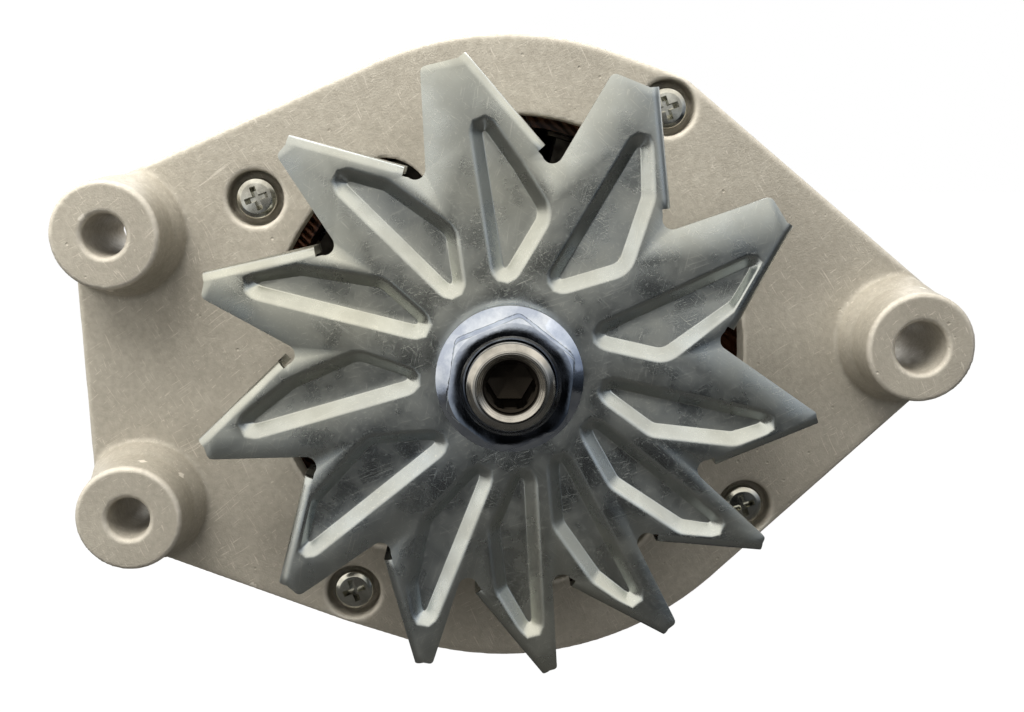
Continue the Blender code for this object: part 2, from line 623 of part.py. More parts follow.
def drive_end_bracket():
    ears = (
        ("upper", UPPER_EAR, LEFT_EAR_RADIUS, LEFT_BORE_RADIUS, LEFT_LUG_RADIUS),
        ("lower", LOWER_EAR, LEFT_EAR_RADIUS, LEFT_BORE_RADIUS, LEFT_LUG_RADIUS),
        ("right", RIGHT_EAR, RIGHT_EAR_RADIUS, RIGHT_BORE_RADIUS, RIGHT_LUG_RADIUS))
    circles = [((0, 0), PLATE_RADIUS, LARGE_ROUND)]
    circles += [(centre, lug, SMALL_ROUND) for _, centre, _, _, lug in ears]
    circles += [(polar(BOLT_CIRCLE_RADIUS, angle), BOLT_BOSS_RADIUS, SMALL_ROUND) for angle in bolt_angles()]
    outline = wrapped(circles)
    plate = loft([
        [(x, y, PLATE_FACE) for x, y in grown(outline, -PLATE_EDGE)],
        [(x, y, PLATE_FACE - PLATE_EDGE) for x, y in outline],
        [(x, y, PLATE_FACE - PLATE_THICKNESS) for x, y in outline]])
    bracket = place("drive_end_bracket", mesh_from("drive_end_bracket", plate), CAST_ALUMINIUM)
    shell = rod("bracket_shell", SHELL_RADIUS, PLATE_FACE - PLATE_THICKNESS / 2, FRONT_RIM, steps=LARGE_ROUND)
    hub = turned("bracket_hub", [
        (0, HUB_FACE), (HUB_FRONT_RADIUS - PLATE_EDGE, HUB_FACE), (HUB_FRONT_RADIUS, HUB_FACE - PLATE_EDGE),
        (HUB_FRONT_RADIUS, PLATE_FACE - WEB_THICKNESS / 2), (0, PLATE_FACE - WEB_THICKNESS / 2)])
    add(bracket, shell, hub)
    for side, centre, radius, _, _ in ears:
        add(bracket, ear_boss(f"{side}_ear_boss", centre, radius), ear_rib(f"{side}_ear_rib", centre))
    inside = PLATE_FACE - WEB_THICKNESS
    beyond = FRONT_RIM - PLATE_EDGE
    lip_bore = SPACER_RADIUS + HUB_LIP_GAP
    cavity = turned("bracket_cavity", [
        (0, HUB_FACE + PLATE_EDGE), (lip_bore, HUB_FACE + PLATE_EDGE), (lip_bore, HUB_FACE - HUB_LIP),
        (HUB_BORE, HUB_FACE - HUB_LIP), (HUB_BORE, FRONT_BEARING_FOOT), (HUB_RADIUS, FRONT_BEARING_FOOT),
        (HUB_RADIUS, inside), (SHELL_INSIDE, inside), (SHELL_INSIDE, beyond), (0, beyond)])
    vents = slab("bracket_vents",
                 sectors(VENT_INNER_RADIUS, VENT_OUTER_RADIUS, VENT_FIRST_SPOKE, VENT_SPOKE_WIDTH, VENT_COUNT),
                 PLATE_FACE + PLATE_EDGE, inside - PLATE_EDGE)
    cut(bracket, cavity, vents)
    seat = PLATE_FACE - BOLT_HEAD_SINK - BOLT_HEAD_HEIGHT - SEAT_GAP
    shank = BOLT_RADIUS + SEAT_GAP
    wide = BOLT_COUNTERBORE_RADIUS
    for index, angle in enumerate(bolt_angles(), 1):
        cut(bracket, turned(f"bolt_seat_{index}", [
            (0, PLATE_FACE + BOLT_RIM_CHAMFER), (wide + 2 * BOLT_RIM_CHAMFER, PLATE_FACE + BOLT_RIM_CHAMFER),
            (wide, PLATE_FACE - BOLT_RIM_CHAMFER), (wide, seat), (shank, seat), (shank, beyond), (0, beyond)],
            steps=BOLT_ROUND, location=(*polar(BOLT_CIRCLE_RADIUS, angle), 0)))
    for side, centre, _, bore, _ in ears:
        cut(bracket, ear_bore(f"{side}_ear_bore", centre, bore))
    for index, angle in enumerate(retainer_screw_angles(), 1):
        at = polar(RETAINER_SCREW_CIRCLE, angle)
        cut(bracket, rod(f"retainer_hole_{index}", RETAINER_SCREW_RADIUS + SEAT_GAP,
                         RETAINER_TOP + RETAINER_SCREW_GRIP, FRONT_BEARING_FOOT - PLATE_EDGE, at=at,
                         steps=TINY_ROUND))
    return bracket


def retainer_screw_angles():
    pitch = 360 / RETAINER_SCREW_COUNT
    return [RETAINER_SCREW_FIRST + index * pitch for index in range(RETAINER_SCREW_COUNT)]


def through_bolts():
    top = PLATE_FACE - BOLT_HEAD_SINK
    length = (top - BOLT_HEAD_HEIGHT) - (REAR_RIM - BOLT_GRIP_IN_REAR)
    for index, angle in enumerate(bolt_angles(), 1):
        headed_screw(f"through_bolt_{index}", polar(BOLT_CIRCLE_RADIUS, angle), BOLT_HEAD_RADIUS,
                     BOLT_HEAD_HEIGHT, top, BOLT_RADIUS, length, ZINC_SCREW)


def bearing_retainer():
    plate = tube("bearing_retainer", HUB_RADIUS, RETAINER_BORE_RADIUS, RETAINER_TOP, RETAINER_FOOT, STEEL_SHEET)
    head_top = RETAINER_FOOT - SEAT_GAP - RETAINER_SCREW_HEAD_HEIGHT
    length = RETAINER_TOP + RETAINER_SCREW_GRIP - SEAT_GAP - (head_top + RETAINER_SCREW_HEAD_HEIGHT)
    for index, angle in enumerate(retainer_screw_angles(), 1):
        at = polar(RETAINER_SCREW_CIRCLE, angle)
        hole = rod(f"retainer_clearance_{index}", RETAINER_SCREW_RADIUS + SEAT_GAP, RETAINER_TOP + PLATE_EDGE,
                   RETAINER_FOOT - PLATE_EDGE, at=at, steps=TINY_ROUND)
        cut(plate, hole)
        headed_screw(f"retainer_screw_{index}", at, RETAINER_SCREW_HEAD, RETAINER_SCREW_HEAD_HEIGHT, head_top,
                     RETAINER_SCREW_RADIUS, length, ZINC_SCREW, toward=-1, recess=False)


def ball_bearing(side, bore, radius, top, height, ball_radius, ball_count, spinner, cage_parent):
    """Outer ring, inner ring, and the balls in their cage, which turns between the two."""
    pitch = (bore + radius) / 2
    foot = top - height
    race_gap = ball_radius + SEAT_GAP
    tube(f"{side}_bearing_outer_ring", radius, pitch + race_gap, top, foot, BEARING_STEEL, None, SMALL_ROUND)
    tube(f"{side}_bearing_inner_ring", pitch - race_gap, bore + SEAT_GAP, top, foot, BEARING_STEEL, spinner,
         SMALL_ROUND)
    middle = (top + foot) / 2
    thin = ball_radius / 4
    cage = tube(f"{side}_bearing_balls", pitch + thin, pitch - thin, middle + ball_radius / 2,
                middle - ball_radius / 2, BEARING_STEEL, cage_parent, SMALL_ROUND)
    shape = bmesh.new()
    for index in range(ball_count):
        spot = Matrix.Translation((*polar(pitch, index * 360 / ball_count), middle))
        bmesh.ops.create_uvsphere(shape, u_segments=6, v_segments=5, radius=ball_radius, matrix=spot)
    balls = place(f"{side}_bearing_ball_set", mesh_from("ball_set", shape), None, cage_parent)
    add(cage, balls)


def rear_bearing_sleeve():
    tube("rear_bearing_sleeve", REAR_SLEEVE_RADIUS, REAR_SLEEVE_BORE, REAR_BEARING_TOP, REAR_BEARING_FOOT,
         BLACK_PLASTIC, None, SMALL_ROUND)


def rotor_shaft():
    journal_foot = FRONT_BEARING_FOOT - SEAT_GAP
    rear_shoulder = REAR_BEARING_TOP + SEAT_GAP
    fan_shoulder = FAN_FACE_HEIGHT - FAN_SHEET - 2 * SEAT_GAP
    tip = SHAFT_TIP_HEIGHT
    shaft = turned("rotor_shaft", [
        (0, tip), (SHAFT_THREAD_RADIUS - SHAFT_TIP_CHAMFER, tip), (SHAFT_THREAD_RADIUS, tip - SHAFT_TIP_CHAMFER),
        (SHAFT_THREAD_RADIUS, fan_shoulder), (FRONT_BEARING_BORE, fan_shoulder),
        (FRONT_BEARING_BORE, journal_foot), (SHAFT_CORE_RADIUS, journal_foot),
        (SHAFT_CORE_RADIUS, rear_shoulder), (REAR_BEARING_BORE, rear_shoulder),
        (REAR_BEARING_BORE, REAR_BEARING_FOOT - SEAT_GAP), (SLIP_SHAFT_RADIUS, REAR_BEARING_FOOT - SEAT_GAP),
        (SLIP_SHAFT_RADIUS, SLIP_CARRIER_FOOT), (0, SLIP_CARRIER_FOOT)], SHAFT_STEEL, ROTOR, SMALL_ROUND)
    counterbore = rod("shaft_counterbore", SOCKET_RADIUS, tip + SHAFT_TIP_CHAMFER, tip - SOCKET_COUNTERSINK,
                      parent=ROTOR)
    corner = SOCKET_ACROSS_FLATS / 2 / cos(pi / 6)
    socket = rod("shaft_hex_socket", corner, tip, tip - SOCKET_DEPTH, parent=ROTOR, steps=6, turn=30)
    return cut(shaft, counterbore, socket)


def fan_spacer():
    top = FAN_FACE_HEIGHT - FAN_SHEET - SEAT_GAP
    shelf = top - SPACER_FLANGE_HEIGHT
    bore = FRONT_BEARING_BORE + SEAT_GAP
    turned("fan_spacer", [
        (SPACER_FLANGE_RADIUS, top), (SPACER_FLANGE_RADIUS, shelf), (SPACER_RADIUS, shelf),
        (SPACER_RADIUS, FRONT_BEARING_TOP + SEAT_GAP), (bore, FRONT_BEARING_TOP + SEAT_GAP), (bore, top)],
        SHAFT_STEEL, ROTOR, SMALL_ROUND)


def flange_nut():
    seat = FAN_FACE_HEIGHT + SEAT_GAP
    top = seat + NUT_HEIGHT
    corner = NUT_ACROSS_FLATS / 2 / cos(pi / 6)
    nut = rod("flange_nut", corner, top, seat + NUT_FLANGE_HEIGHT / 2, ZINC_NUT, parent=ROTOR, steps=6,
              turn=NUT_FLAT_ANGLE)
    rounder = turned("nut_rounder", [
        (0, top + NUT_CHAMFER), (corner - 3 * NUT_CHAMFER, top + NUT_CHAMFER), (corner, top - NUT_CHAMFER),
        (corner + NUT_CHAMFER, seat), (0, seat)], parent=ROTOR)
    combine(nut, rounder, "INTERSECT")
    rim = seat + NUT_FLANGE_HEIGHT
    flange = turned("nut_flange", [
        (0, rim + NUT_CHAMFER), (NUT_ACROSS_FLATS / 2, rim + NUT_CHAMFER), (NUT_FLANGE_RADIUS, rim),
        (NUT_FLANGE_RADIUS, seat), (0, seat)], parent=ROTOR)
    bore = rod("nut_bore", SHAFT_THREAD_RADIUS + SEAT_GAP, top + NUT_CHAMFER, seat - NUT_CHAMFER, parent=ROTOR)
    return cut(add(nut, flange), bore)


def petals():
    """Clockwise, for each petal: the angles of its two slots and of its two tip corners."""
    entries = []
    slot = FIRST_SLOT_ANGLE
    for pitch, lag, lead in zip(PETAL_PITCHES, PLAIN_TIP_LAGS, FLAP_TIP_LEADS):
        next_slot = slot - pitch
        entries.append((slot, next_slot, slot - lag, next_slot + lead))
        slot = next_slot
    return entries


def touching(slot, corner, side):
    """Direction, from a slot's centre, of the point where a straight edge from corner touches it."""
    span = corner - Vector(polar(SLOT_CIRCLE_RADIUS, slot))
    return degrees(atan2(span.y, span.x) + side * acos(SLOT_RADIUS / span.length))


def bend_line(next_slot, flap_tip):
    """Where a flap starts to bend: its tip end, its slot end, the foot of its step, its side."""
    corner = Vector(polar(FLAP_TIP_RADIUS, flap_tip))
    centre = Vector(polar(SLOT_CIRCLE_RADIUS, next_slot))
    touch = centre + Vector(polar(SLOT_RADIUS, touching(next_slot, corner, 1)))
    along = (corner - touch).normalized()
    side = Vector((along.y, -along.x))
    step = touch + along * FLAP_STEP
    return corner - side * FLAP_BEND_RADIUS, step - side * FLAP_BEND_RADIUS, step, side


def fan_blank_outline(entries):
    """The flat outline of the star, counter-clockwise, without its flaps."""
    outline = []
    for index in reversed(range(len(entries))):
        slot, next_slot, plain_tip, flap_tip = entries[index]
        tip_end, slot_end, step, _ = bend_line(next_slot, flap_tip)
        corner = Vector(polar(PLAIN_TIP_RADIUS, plain_tip))
        start = touching(slot, corner, -1)
        stop = touching(slot, Vector(polar(FLAP_TIP_RADIUS, entries[index - 1][3])), 1) - 360
        while stop > start:
            stop -= 360
        while stop < start - 360:
            stop += 360
        outline += [step, slot_end, tip_end, corner]
        outline += arc(polar(SLOT_CIRCLE_RADIUS, slot), SLOT_RADIUS, start, stop, 36)
    return outline


def filled_sheet(shape, outline, holes, height):
    """Fills the area between an outline and its holes with triangles."""
    points = []
    areas = []
    for loop in (outline, *holes):
        areas.append(list(range(len(points), len(points) + len(loop))))
        points += [Vector(point) for point in loop]
    corners, _, triangles, _, _, inside = delaunay_2d_cdt(points, [], areas, 1, 1e-7)
    verts = [shape.verts.new((x, y, height)) for x, y in corners]
    for triangle, owners in zip(triangles, inside):
        if list(owners) == [0]:
            shape.faces.new([verts[index] for index in triangle])
    return verts


def nearest(verts, point):
    return min(verts, key=lambda vert: (vert.co.xy - Vector(point)).length)


def pocket_floor(next_slot, corners):
    """The outline of a petal's sunk field, counter-clockwise, with its corners cut off."""
    points = [Vector(polar(share * FLAP_TIP_RADIUS, next_slot + lead)) for share, lead in corners]
    outline = []
    for index, corner in enumerate(points):
        for other in (points[index - 1], points[(index + 1) % len(points)]):
            outline.append(corner + (other - corner).normalized() * POCKET_CORNER)
    return outline


def pocket_lip(floor, next_slot, flap_tip):
    """The rim round a sunk field, held back from the bend of the petal's blade."""
    _, slot_end, _, side = bend_line(next_slot, flap_tip)
    lip = grown(floor, POCKET_WALL)
    return [point - side * max(0, (point - slot_end).dot(side) + POCKET_BEND_GAP) for point in lip]


def cooling_fan():
    """A star stamped from one disc, with a sunk field in each petal and a blade along its edge."""
    entries = petals()
    shape = bmesh.new()
    face = FAN_FACE_HEIGHT
    floors = [pocket_floor(entry[1], corners) for entry, corners in zip(entries, POCKET_CORNERS)]
    lips = [pocket_lip(floor, entry[1], entry[3]) for floor, entry in zip(floors, entries)]
    bore = ring((0, 0), SHAFT_THREAD_RADIUS + SEAT_GAP, SMALL_ROUND)
    verts = filled_sheet(shape, fan_blank_outline(entries), [bore, *lips], face)
    for floor, lip in zip(floors, lips):
        rim = [nearest(verts, point) for point in lip]
        base = [shape.verts.new((x, y, face - POCKET_DEPTH)) for x, y in floor]
        shape.faces.new(base)
        for index in range(len(rim)):
            shape.faces.new((rim[index - 1], rim[index], base[index], base[index - 1]))
    for _, next_slot, _, flap_tip in entries:
        add_flap(shape, verts, next_slot, flap_tip, face)
    fan = place("cooling_fan", mesh_from("cooling_fan", shape), ZINC_SHEET, ROTOR)
    sheet = fan.modifiers.new("sheet", "SOLIDIFY")
    sheet.thickness = FAN_SHEET
    sheet.offset = -1.0
    return fan


def add_flap(shape, verts, next_slot, flap_tip, face):
    """Bends a blade backward along a petal's clockwise side."""
    tip_end, slot_end, _, side = bend_line(next_slot, flap_tip)
    rows = [(nearest(verts, tip_end), nearest(verts, slot_end))]
    for bend in (30, 60, 90):
        out = side * FLAP_BEND_RADIUS * sin(radians(bend))
        height = face - FLAP_BEND_RADIUS * (1 - cos(radians(bend)))
        rows.append([shape.verts.new((*(end + out), height)) for end in (tip_end, slot_end)])
    out = side * FLAP_BEND_RADIUS
    rows.append((
        shape.verts.new((*(tip_end + out), face - FLAP_DEPTH_AT_TIP)),
        shape.verts.new((*(slot_end + out), face - FLAP_DEPTH_AT_SLOT))))
    for (tip_a, slot_a), (tip_b, slot_b) in zip(rows, rows[1:]):
        shape.faces.new((tip_a, slot_a, slot_b, tip_b))


def claw_section(angle, half, inside, height):
    outer = arc((0, 0), POLE_RADIUS, angle - half, angle + half, half / 2)
    inner = arc((0, 0), inside, angle + half, angle - half, half)
    return [(x, y, height) for x, y in outer + inner]


def claw_pole(name, toward, first_angle):
    """Half of the rotor's iron; toward is 1 for the half at the drive end."""
    outer = ROTOR_TOP if toward > 0 else ROTOR_FOOT
    shelf = outer - toward * POLE_DISC_HEIGHT
    middle = ROTOR_MIDDLE + toward * SEAT_GAP / 2
    end = outer - toward * (2 * POLE_DISC_HEIGHT + COIL_HEIGHT - POLE_TIP_SHORTFALL)
    bore = SHAFT_CORE_RADIUS + SEAT_GAP
    profile = [
        (POLE_DISC_RADIUS, outer), (POLE_DISC_RADIUS, shelf), (COIL_CORE_RADIUS, shelf),
        (COIL_CORE_RADIUS, middle), (bore, middle), (bore, outer)]
    if toward < 0:
        profile.reverse()
    pole = turned(name, profile, POLE_IRON, ROTOR)
    overlap = POLE_DISC_RADIUS - POLE_ROOT_DEPTH
    clear = BOBBIN_FLANGE_RADIUS + 2 * SEAT_GAP
    for index in range(POLE_COUNT):
        angle = first_angle + index * 360 / POLE_COUNT
        body = loft([
            claw_section(angle, POLE_ROOT_HALF_ANGLE, overlap, outer),
            claw_section(angle, POLE_ROOT_HALF_ANGLE, overlap, shelf),
            claw_section(angle, POLE_ROOT_HALF_ANGLE, clear, shelf),
            claw_section(angle, POLE_TIP_HALF_ANGLE, POLE_RADIUS - POLE_TIP_THICKNESS, end)])
        add(pole, place(f"{name}_claw_{index}", mesh_from(f"{name}_claw", body), None, ROTOR))
    return pole


def field_coil():
    foot = ROTOR_MIDDLE - COIL_HEIGHT / 2 + SEAT_GAP
    top = ROTOR_MIDDLE + COIL_HEIGHT / 2 - SEAT_GAP
    bore = COIL_CORE_RADIUS + SEAT_GAP
    drum = bore + BOBBIN_WALL
    turned("field_bobbin", [
        (BOBBIN_FLANGE_RADIUS, top), (BOBBIN_FLANGE_RADIUS, top - BOBBIN_WALL), (drum, top - BOBBIN_WALL),
        (drum, foot + BOBBIN_WALL), (BOBBIN_FLANGE_RADIUS, foot + BOBBIN_WALL), (BOBBIN_FLANGE_RADIUS, foot),
        (bore, foot), (bore, top)], WHITE_PLASTIC, ROTOR, SMALL_ROUND)
    tube("field_winding", BOBBIN_FLANGE_RADIUS - COIL_INSET, drum + SEAT_GAP, top - BOBBIN_WALL - SEAT_GAP,
         foot + BOBBIN_WALL + SEAT_GAP, COPPER_WIRE, ROTOR, SMALL_ROUND)


def stator_core():
    """The laminated stack: slots inside for the winding, grooves outside for the bolts."""
    groove = BOLT_RADIUS + ROD_CLEARANCE
    inside = []
    half = degrees(asin(STATOR_SLOT_WIDTH / 2 / SLOT_FOOT_RADIUS))
    mouth = degrees(asin(STATOR_SLOT_WIDTH / 2 / STATOR_BORE))
    for index in range(STATOR_SLOT_COUNT):
        angle = index * 360 / STATOR_SLOT_COUNT
        inside += [
            polar(STATOR_BORE, angle - mouth), polar(SLOT_FOOT_RADIUS, angle - half),
            polar(SLOT_FOOT_RADIUS, angle + half), polar(STATOR_BORE, angle + mouth)]
    core = slab("stator_core", [ring((0, 0), STATOR_RADIUS, LARGE_ROUND), inside], STATOR_TOP, STATOR_FOOT,
                LAMINATED_STEEL)
    for index, angle in enumerate(bolt_angles(), 1):
        cut(core, rod(f"stator_groove_{index}", groove, STATOR_TOP + PLATE_EDGE, STATOR_FOOT - PLATE_EDGE,
                      at=polar(BOLT_CIRCLE_RADIUS, angle), steps=TINY_ROUND))
    return core


def stator_winding():
    """Two bundles of end turns joined by the wires that lie in the slots."""
    inner = STATOR_BORE + WINDING_INSET + SEAT_GAP
    outer = min(SHELL_INSIDE, SLOT_FOOT_RADIUS) - WINDING_INSET

    def bundle(name, top, foot, look=None):
        return turned(name, [
            (outer, top), (outer, foot), (inner, foot), (inner, top)], look, steps=STATOR_SLOT_COUNT)

    gap = 2 * SEAT_GAP
    winding = bundle("stator_winding", STATOR_TOP + WINDING_OVERHANG, STATOR_TOP + gap, COPPER_WIRE)
    rear = bundle("rear_end_turns", STATOR_FOOT - gap, STATOR_FOOT - WINDING_OVERHANG)
    shape = bmesh.new()
    width = STATOR_SLOT_WIDTH - 2 * WINDING_INSET
    reach = outer - inner - 2 * WINDING_INSET
    height = STATOR_HEIGHT + 4 * gap
    for index in range(STATOR_SLOT_COUNT):
        turn = Matrix.Rotation(radians(index * 360 / STATOR_SLOT_COUNT), 4, "Z")
        move = Matrix.Translation(((inner + outer) / 2, 0, ROTOR_MIDDLE))
        size = Matrix.Diagonal((reach, width, height, 1))
        bmesh.ops.create_cube(shape, size=1.0, matrix=turn @ move @ size)
    bars = place("slot_wires", mesh_from("slot_wires", shape))
    return add(winding, rear, bars)


def slip_ring_end_bracket():
    bracket = turned("slip_ring_end_bracket", [
        (SHELL_RADIUS, REAR_RIM), (SHELL_RADIUS, REAR_FACE + REAR_EDGE), (SHELL_RADIUS - REAR_EDGE, REAR_FACE),
        (REAR_LIP_RADIUS, REAR_FACE), (REAR_LIP_RADIUS, REAR_FACE + REAR_LIP),
        (REAR_HUB_BORE, REAR_FACE + REAR_LIP), (REAR_HUB_BORE, REAR_BEARING_TOP),
        (REAR_HUB_RADIUS, REAR_BEARING_TOP), (REAR_HUB_RADIUS, REAR_WALL_INSIDE),
        (SHELL_INSIDE, REAR_WALL_INSIDE), (SHELL_INSIDE, REAR_RIM)], CAST_ALUMINIUM)
    vents = slab("rear_bracket_vents",
                 sectors(REAR_VENT_INNER_RADIUS, REAR_VENT_OUTER_RADIUS, REAR_VENT_FIRST, REAR_VENT_RIB,
                         REAR_VENT_COUNT), REAR_WALL_INSIDE + PLATE_EDGE, REAR_FACE - PLATE_EDGE)
    cut(bracket, vents)
    for index, angle in enumerate(bolt_angles(), 1):
        cut(bracket, rod(f"bolt_thread_{index}", BOLT_RADIUS + SEAT_GAP, REAR_RIM + PLATE_EDGE,
                         REAR_RIM - BOLT_GRIP_IN_REAR - SEAT_GAP, at=polar(BOLT_CIRCLE_RADIUS, angle),
                         steps=TINY_ROUND))
    for index, x in enumerate((-REGULATOR_SCREW_SPAN / 2, REGULATOR_SCREW_SPAN / 2), 1):
        cut(bracket, rod(f"regulator_thread_{index}", REGULATOR_SCREW_RADIUS + SEAT_GAP,
                         REAR_WALL_INSIDE + PLATE_EDGE, REAR_FACE - PLATE_EDGE, at=(x, REGULATOR_SCREW_HEIGHT),
                         steps=TINY_ROUND))
    for index, angle in enumerate(COVER_SCREW_ANGLES, 1):
        cut(bracket, rod(f"cover_thread_{index}", COVER_SCREW_RADIUS + SEAT_GAP,
                         REAR_FACE + COVER_SCREW_GRIP + SEAT_GAP, REAR_FACE - PLATE_EDGE,
                         at=polar(COVER_SCREW_CIRCLE, angle), steps=TINY_ROUND))
    return bracket


def slip_rings():
    bore = SLIP_SHAFT_RADIUS + SEAT_GAP
    drum = bore + SLIP_CARRIER_WALL
    crest = SLIP_RING_RADIUS - SEAT_GAP
    profile = [(crest, SLIP_CARRIER_TOP), (crest, FIRST_RING_TOP + SEAT_GAP), (drum, FIRST_RING_TOP + SEAT_GAP)]
    for centre in (FIRST_BRUSH, SECOND_BRUSH):
        groove_foot = centre - SLIP_RING_WIDTH / 2 - SEAT_GAP
        profile += [(drum, groove_foot), (crest, groove_foot)]
        if centre == FIRST_BRUSH:
            next_top = SECOND_BRUSH + SLIP_RING_WIDTH / 2 + SEAT_GAP
            profile += [(crest, next_top), (drum, next_top)]
    profile += [(crest, SLIP_CARRIER_FOOT), (bore, SLIP_CARRIER_FOOT), (bore, SLIP_CARRIER_TOP)]
    turned("slip_ring_carrier", profile, BLACK_PLASTIC, ROTOR, SMALL_ROUND)
    for index, centre in enumerate((FIRST_BRUSH, SECOND_BRUSH), 1):
        tube(f"slip_ring_{index}", SLIP_RING_RADIUS, drum + SEAT_GAP, centre + SLIP_RING_WIDTH / 2,
             centre - SLIP_RING_WIDTH / 2, COPPER_RING, ROTOR, SMALL_ROUND)


def brush_gear():
    """The holder over the slip rings, and in it two carbon brushes on their springs."""
    half_width = BRUSH_WIDTH / 2 + BRUSH_SIDE_GAP
    wall = half_width + HOLDER_WALL
    holder = block("brush_holder", (-wall, HOLDER_BOTTOM, HOLDER_FOOT), (wall, HOLDER_CROWN, HOLDER_TOP),
                   BLACK_PLASTIC)
    ears = block("holder_ears", (-HOLDER_EAR_SPAN / 2, HOLDER_CROWN - HOLDER_EAR_HEIGHT, HOLDER_FOOT),
                 (HOLDER_EAR_SPAN / 2, HOLDER_CROWN - PLATE_EDGE, HOLDER_TOP - PLATE_EDGE))
    add(holder, ears)
    for index, height in enumerate((FIRST_BRUSH, SECOND_BRUSH), 1):
        half = BRUSH_THICKNESS / 2 + BRUSH_SIDE_GAP
        cut(holder, block(f"brush_channel_{index}", (-half_width, HOLDER_BOTTOM - PLATE_EDGE, height - half),
                          (half_width, BRUSH_CHANNEL_END, height + half)))
        guide = empty(f"brush_guide_{index}", MACHINE, (0, BRUSH_FOOT, height))
        block(f"brush_{index}", (-BRUSH_WIDTH / 2, 0, -BRUSH_THICKNESS / 2),
              (BRUSH_WIDTH / 2, BRUSH_LENGTH, BRUSH_THICKNESS / 2), BRUSH_CARBON, guide)
        brush_spring(f"brush_spring_{index}", height)
    for index, x in enumerate((-REGULATOR_SCREW_SPAN / 2, REGULATOR_SCREW_SPAN / 2), 1):
        cut(holder, rod(f"holder_hole_{index}", REGULATOR_SCREW_RADIUS + SEAT_GAP, HOLDER_TOP + PLATE_EDGE,
                        HOLDER_FOOT - PLATE_EDGE, at=(x, REGULATOR_SCREW_HEIGHT), steps=TINY_ROUND))


def brush_spring(name, height):
    """A helix between the back of a brush and the end of its channel."""
    start = BRUSH_FOOT + BRUSH_LENGTH + SEAT_GAP + SPRING_WIRE
    end = BRUSH_CHANNEL_END - SEAT_GAP - SPRING_WIRE
    steps = 8 * SPRING_TURNS
    curve = bpy.data.curves.new(name, "CURVE")
    curve.dimensions = "3D"
    curve.bevel_depth = SPRING_WIRE
    curve.bevel_resolution = 0
    curve.use_fill_caps = True
    spline = curve.splines.new("POLY")
    spline.points.add(steps)
    for index, point in enumerate(spline.points):
        turn = 2 * pi * SPRING_TURNS * index / steps
        y = start + (end - start) * index / steps
        point.co = (SPRING_RADIUS * cos(turn), y, height + SPRING_RADIUS * sin(turn), 1)
    spring = bpy.data.objects.new(name, curve)
    spring.parent = MACHINE
    curve.materials.append(SPRING_STEEL)
    PARTS.objects.link(spring)


def voltage_regulator():
    foot_y = HOLDER_CROWN - HOLDER_EAR_HEIGHT - PLATE_EDGE
    high_y = REGULATOR_CREST
    body = block("voltage_regulator", (-REGULATOR_WIDTH / 2, foot_y, REGULATOR_FOOT),
                 (REGULATOR_WIDTH / 2, high_y, REGULATOR_TOP), BLACK_PLASTIC)
    corners = body.modifiers.new("corners", "BEVEL")
    corners.width = PLATE_EDGE
    corners.segments = 1
    head_top = REGULATOR_FOOT - SEAT_GAP - REGULATOR_SCREW_HEAD_HEIGHT
    length = REAR_WALL_INSIDE - (head_top + REGULATOR_SCREW_HEAD_HEIGHT)
    for index, x in enumerate((-REGULATOR_SCREW_SPAN / 2, REGULATOR_SCREW_SPAN / 2), 1):
        at = (x, REGULATOR_SCREW_HEIGHT)
        cut(body, rod(f"regulator_hole_{index}", REGULATOR_SCREW_RADIUS + SEAT_GAP, REGULATOR_TOP + PLATE_EDGE,
                      REGULATOR_FOOT - PLATE_EDGE, at=at, steps=TINY_ROUND))
        headed_screw(f"regulator_screw_{index}", at, REGULATOR_SCREW_HEAD, REGULATOR_SCREW_HEAD_HEIGHT,
                     head_top, REGULATOR_SCREW_RADIUS, length, ZINC_SCREW, toward=-1, recess=False)
    blade_y = high_y - BLADE_INSET
    block("warning_lamp_terminal", (-BLADE_WIDTH / 2, blade_y, REGULATOR_FOOT - SEAT_GAP - BLADE_LENGTH),
          (BLADE_WIDTH / 2, blade_y + BLADE_THICKNESS, REGULATOR_FOOT - SEAT_GAP), TIN_PLATE)
    return blade_y


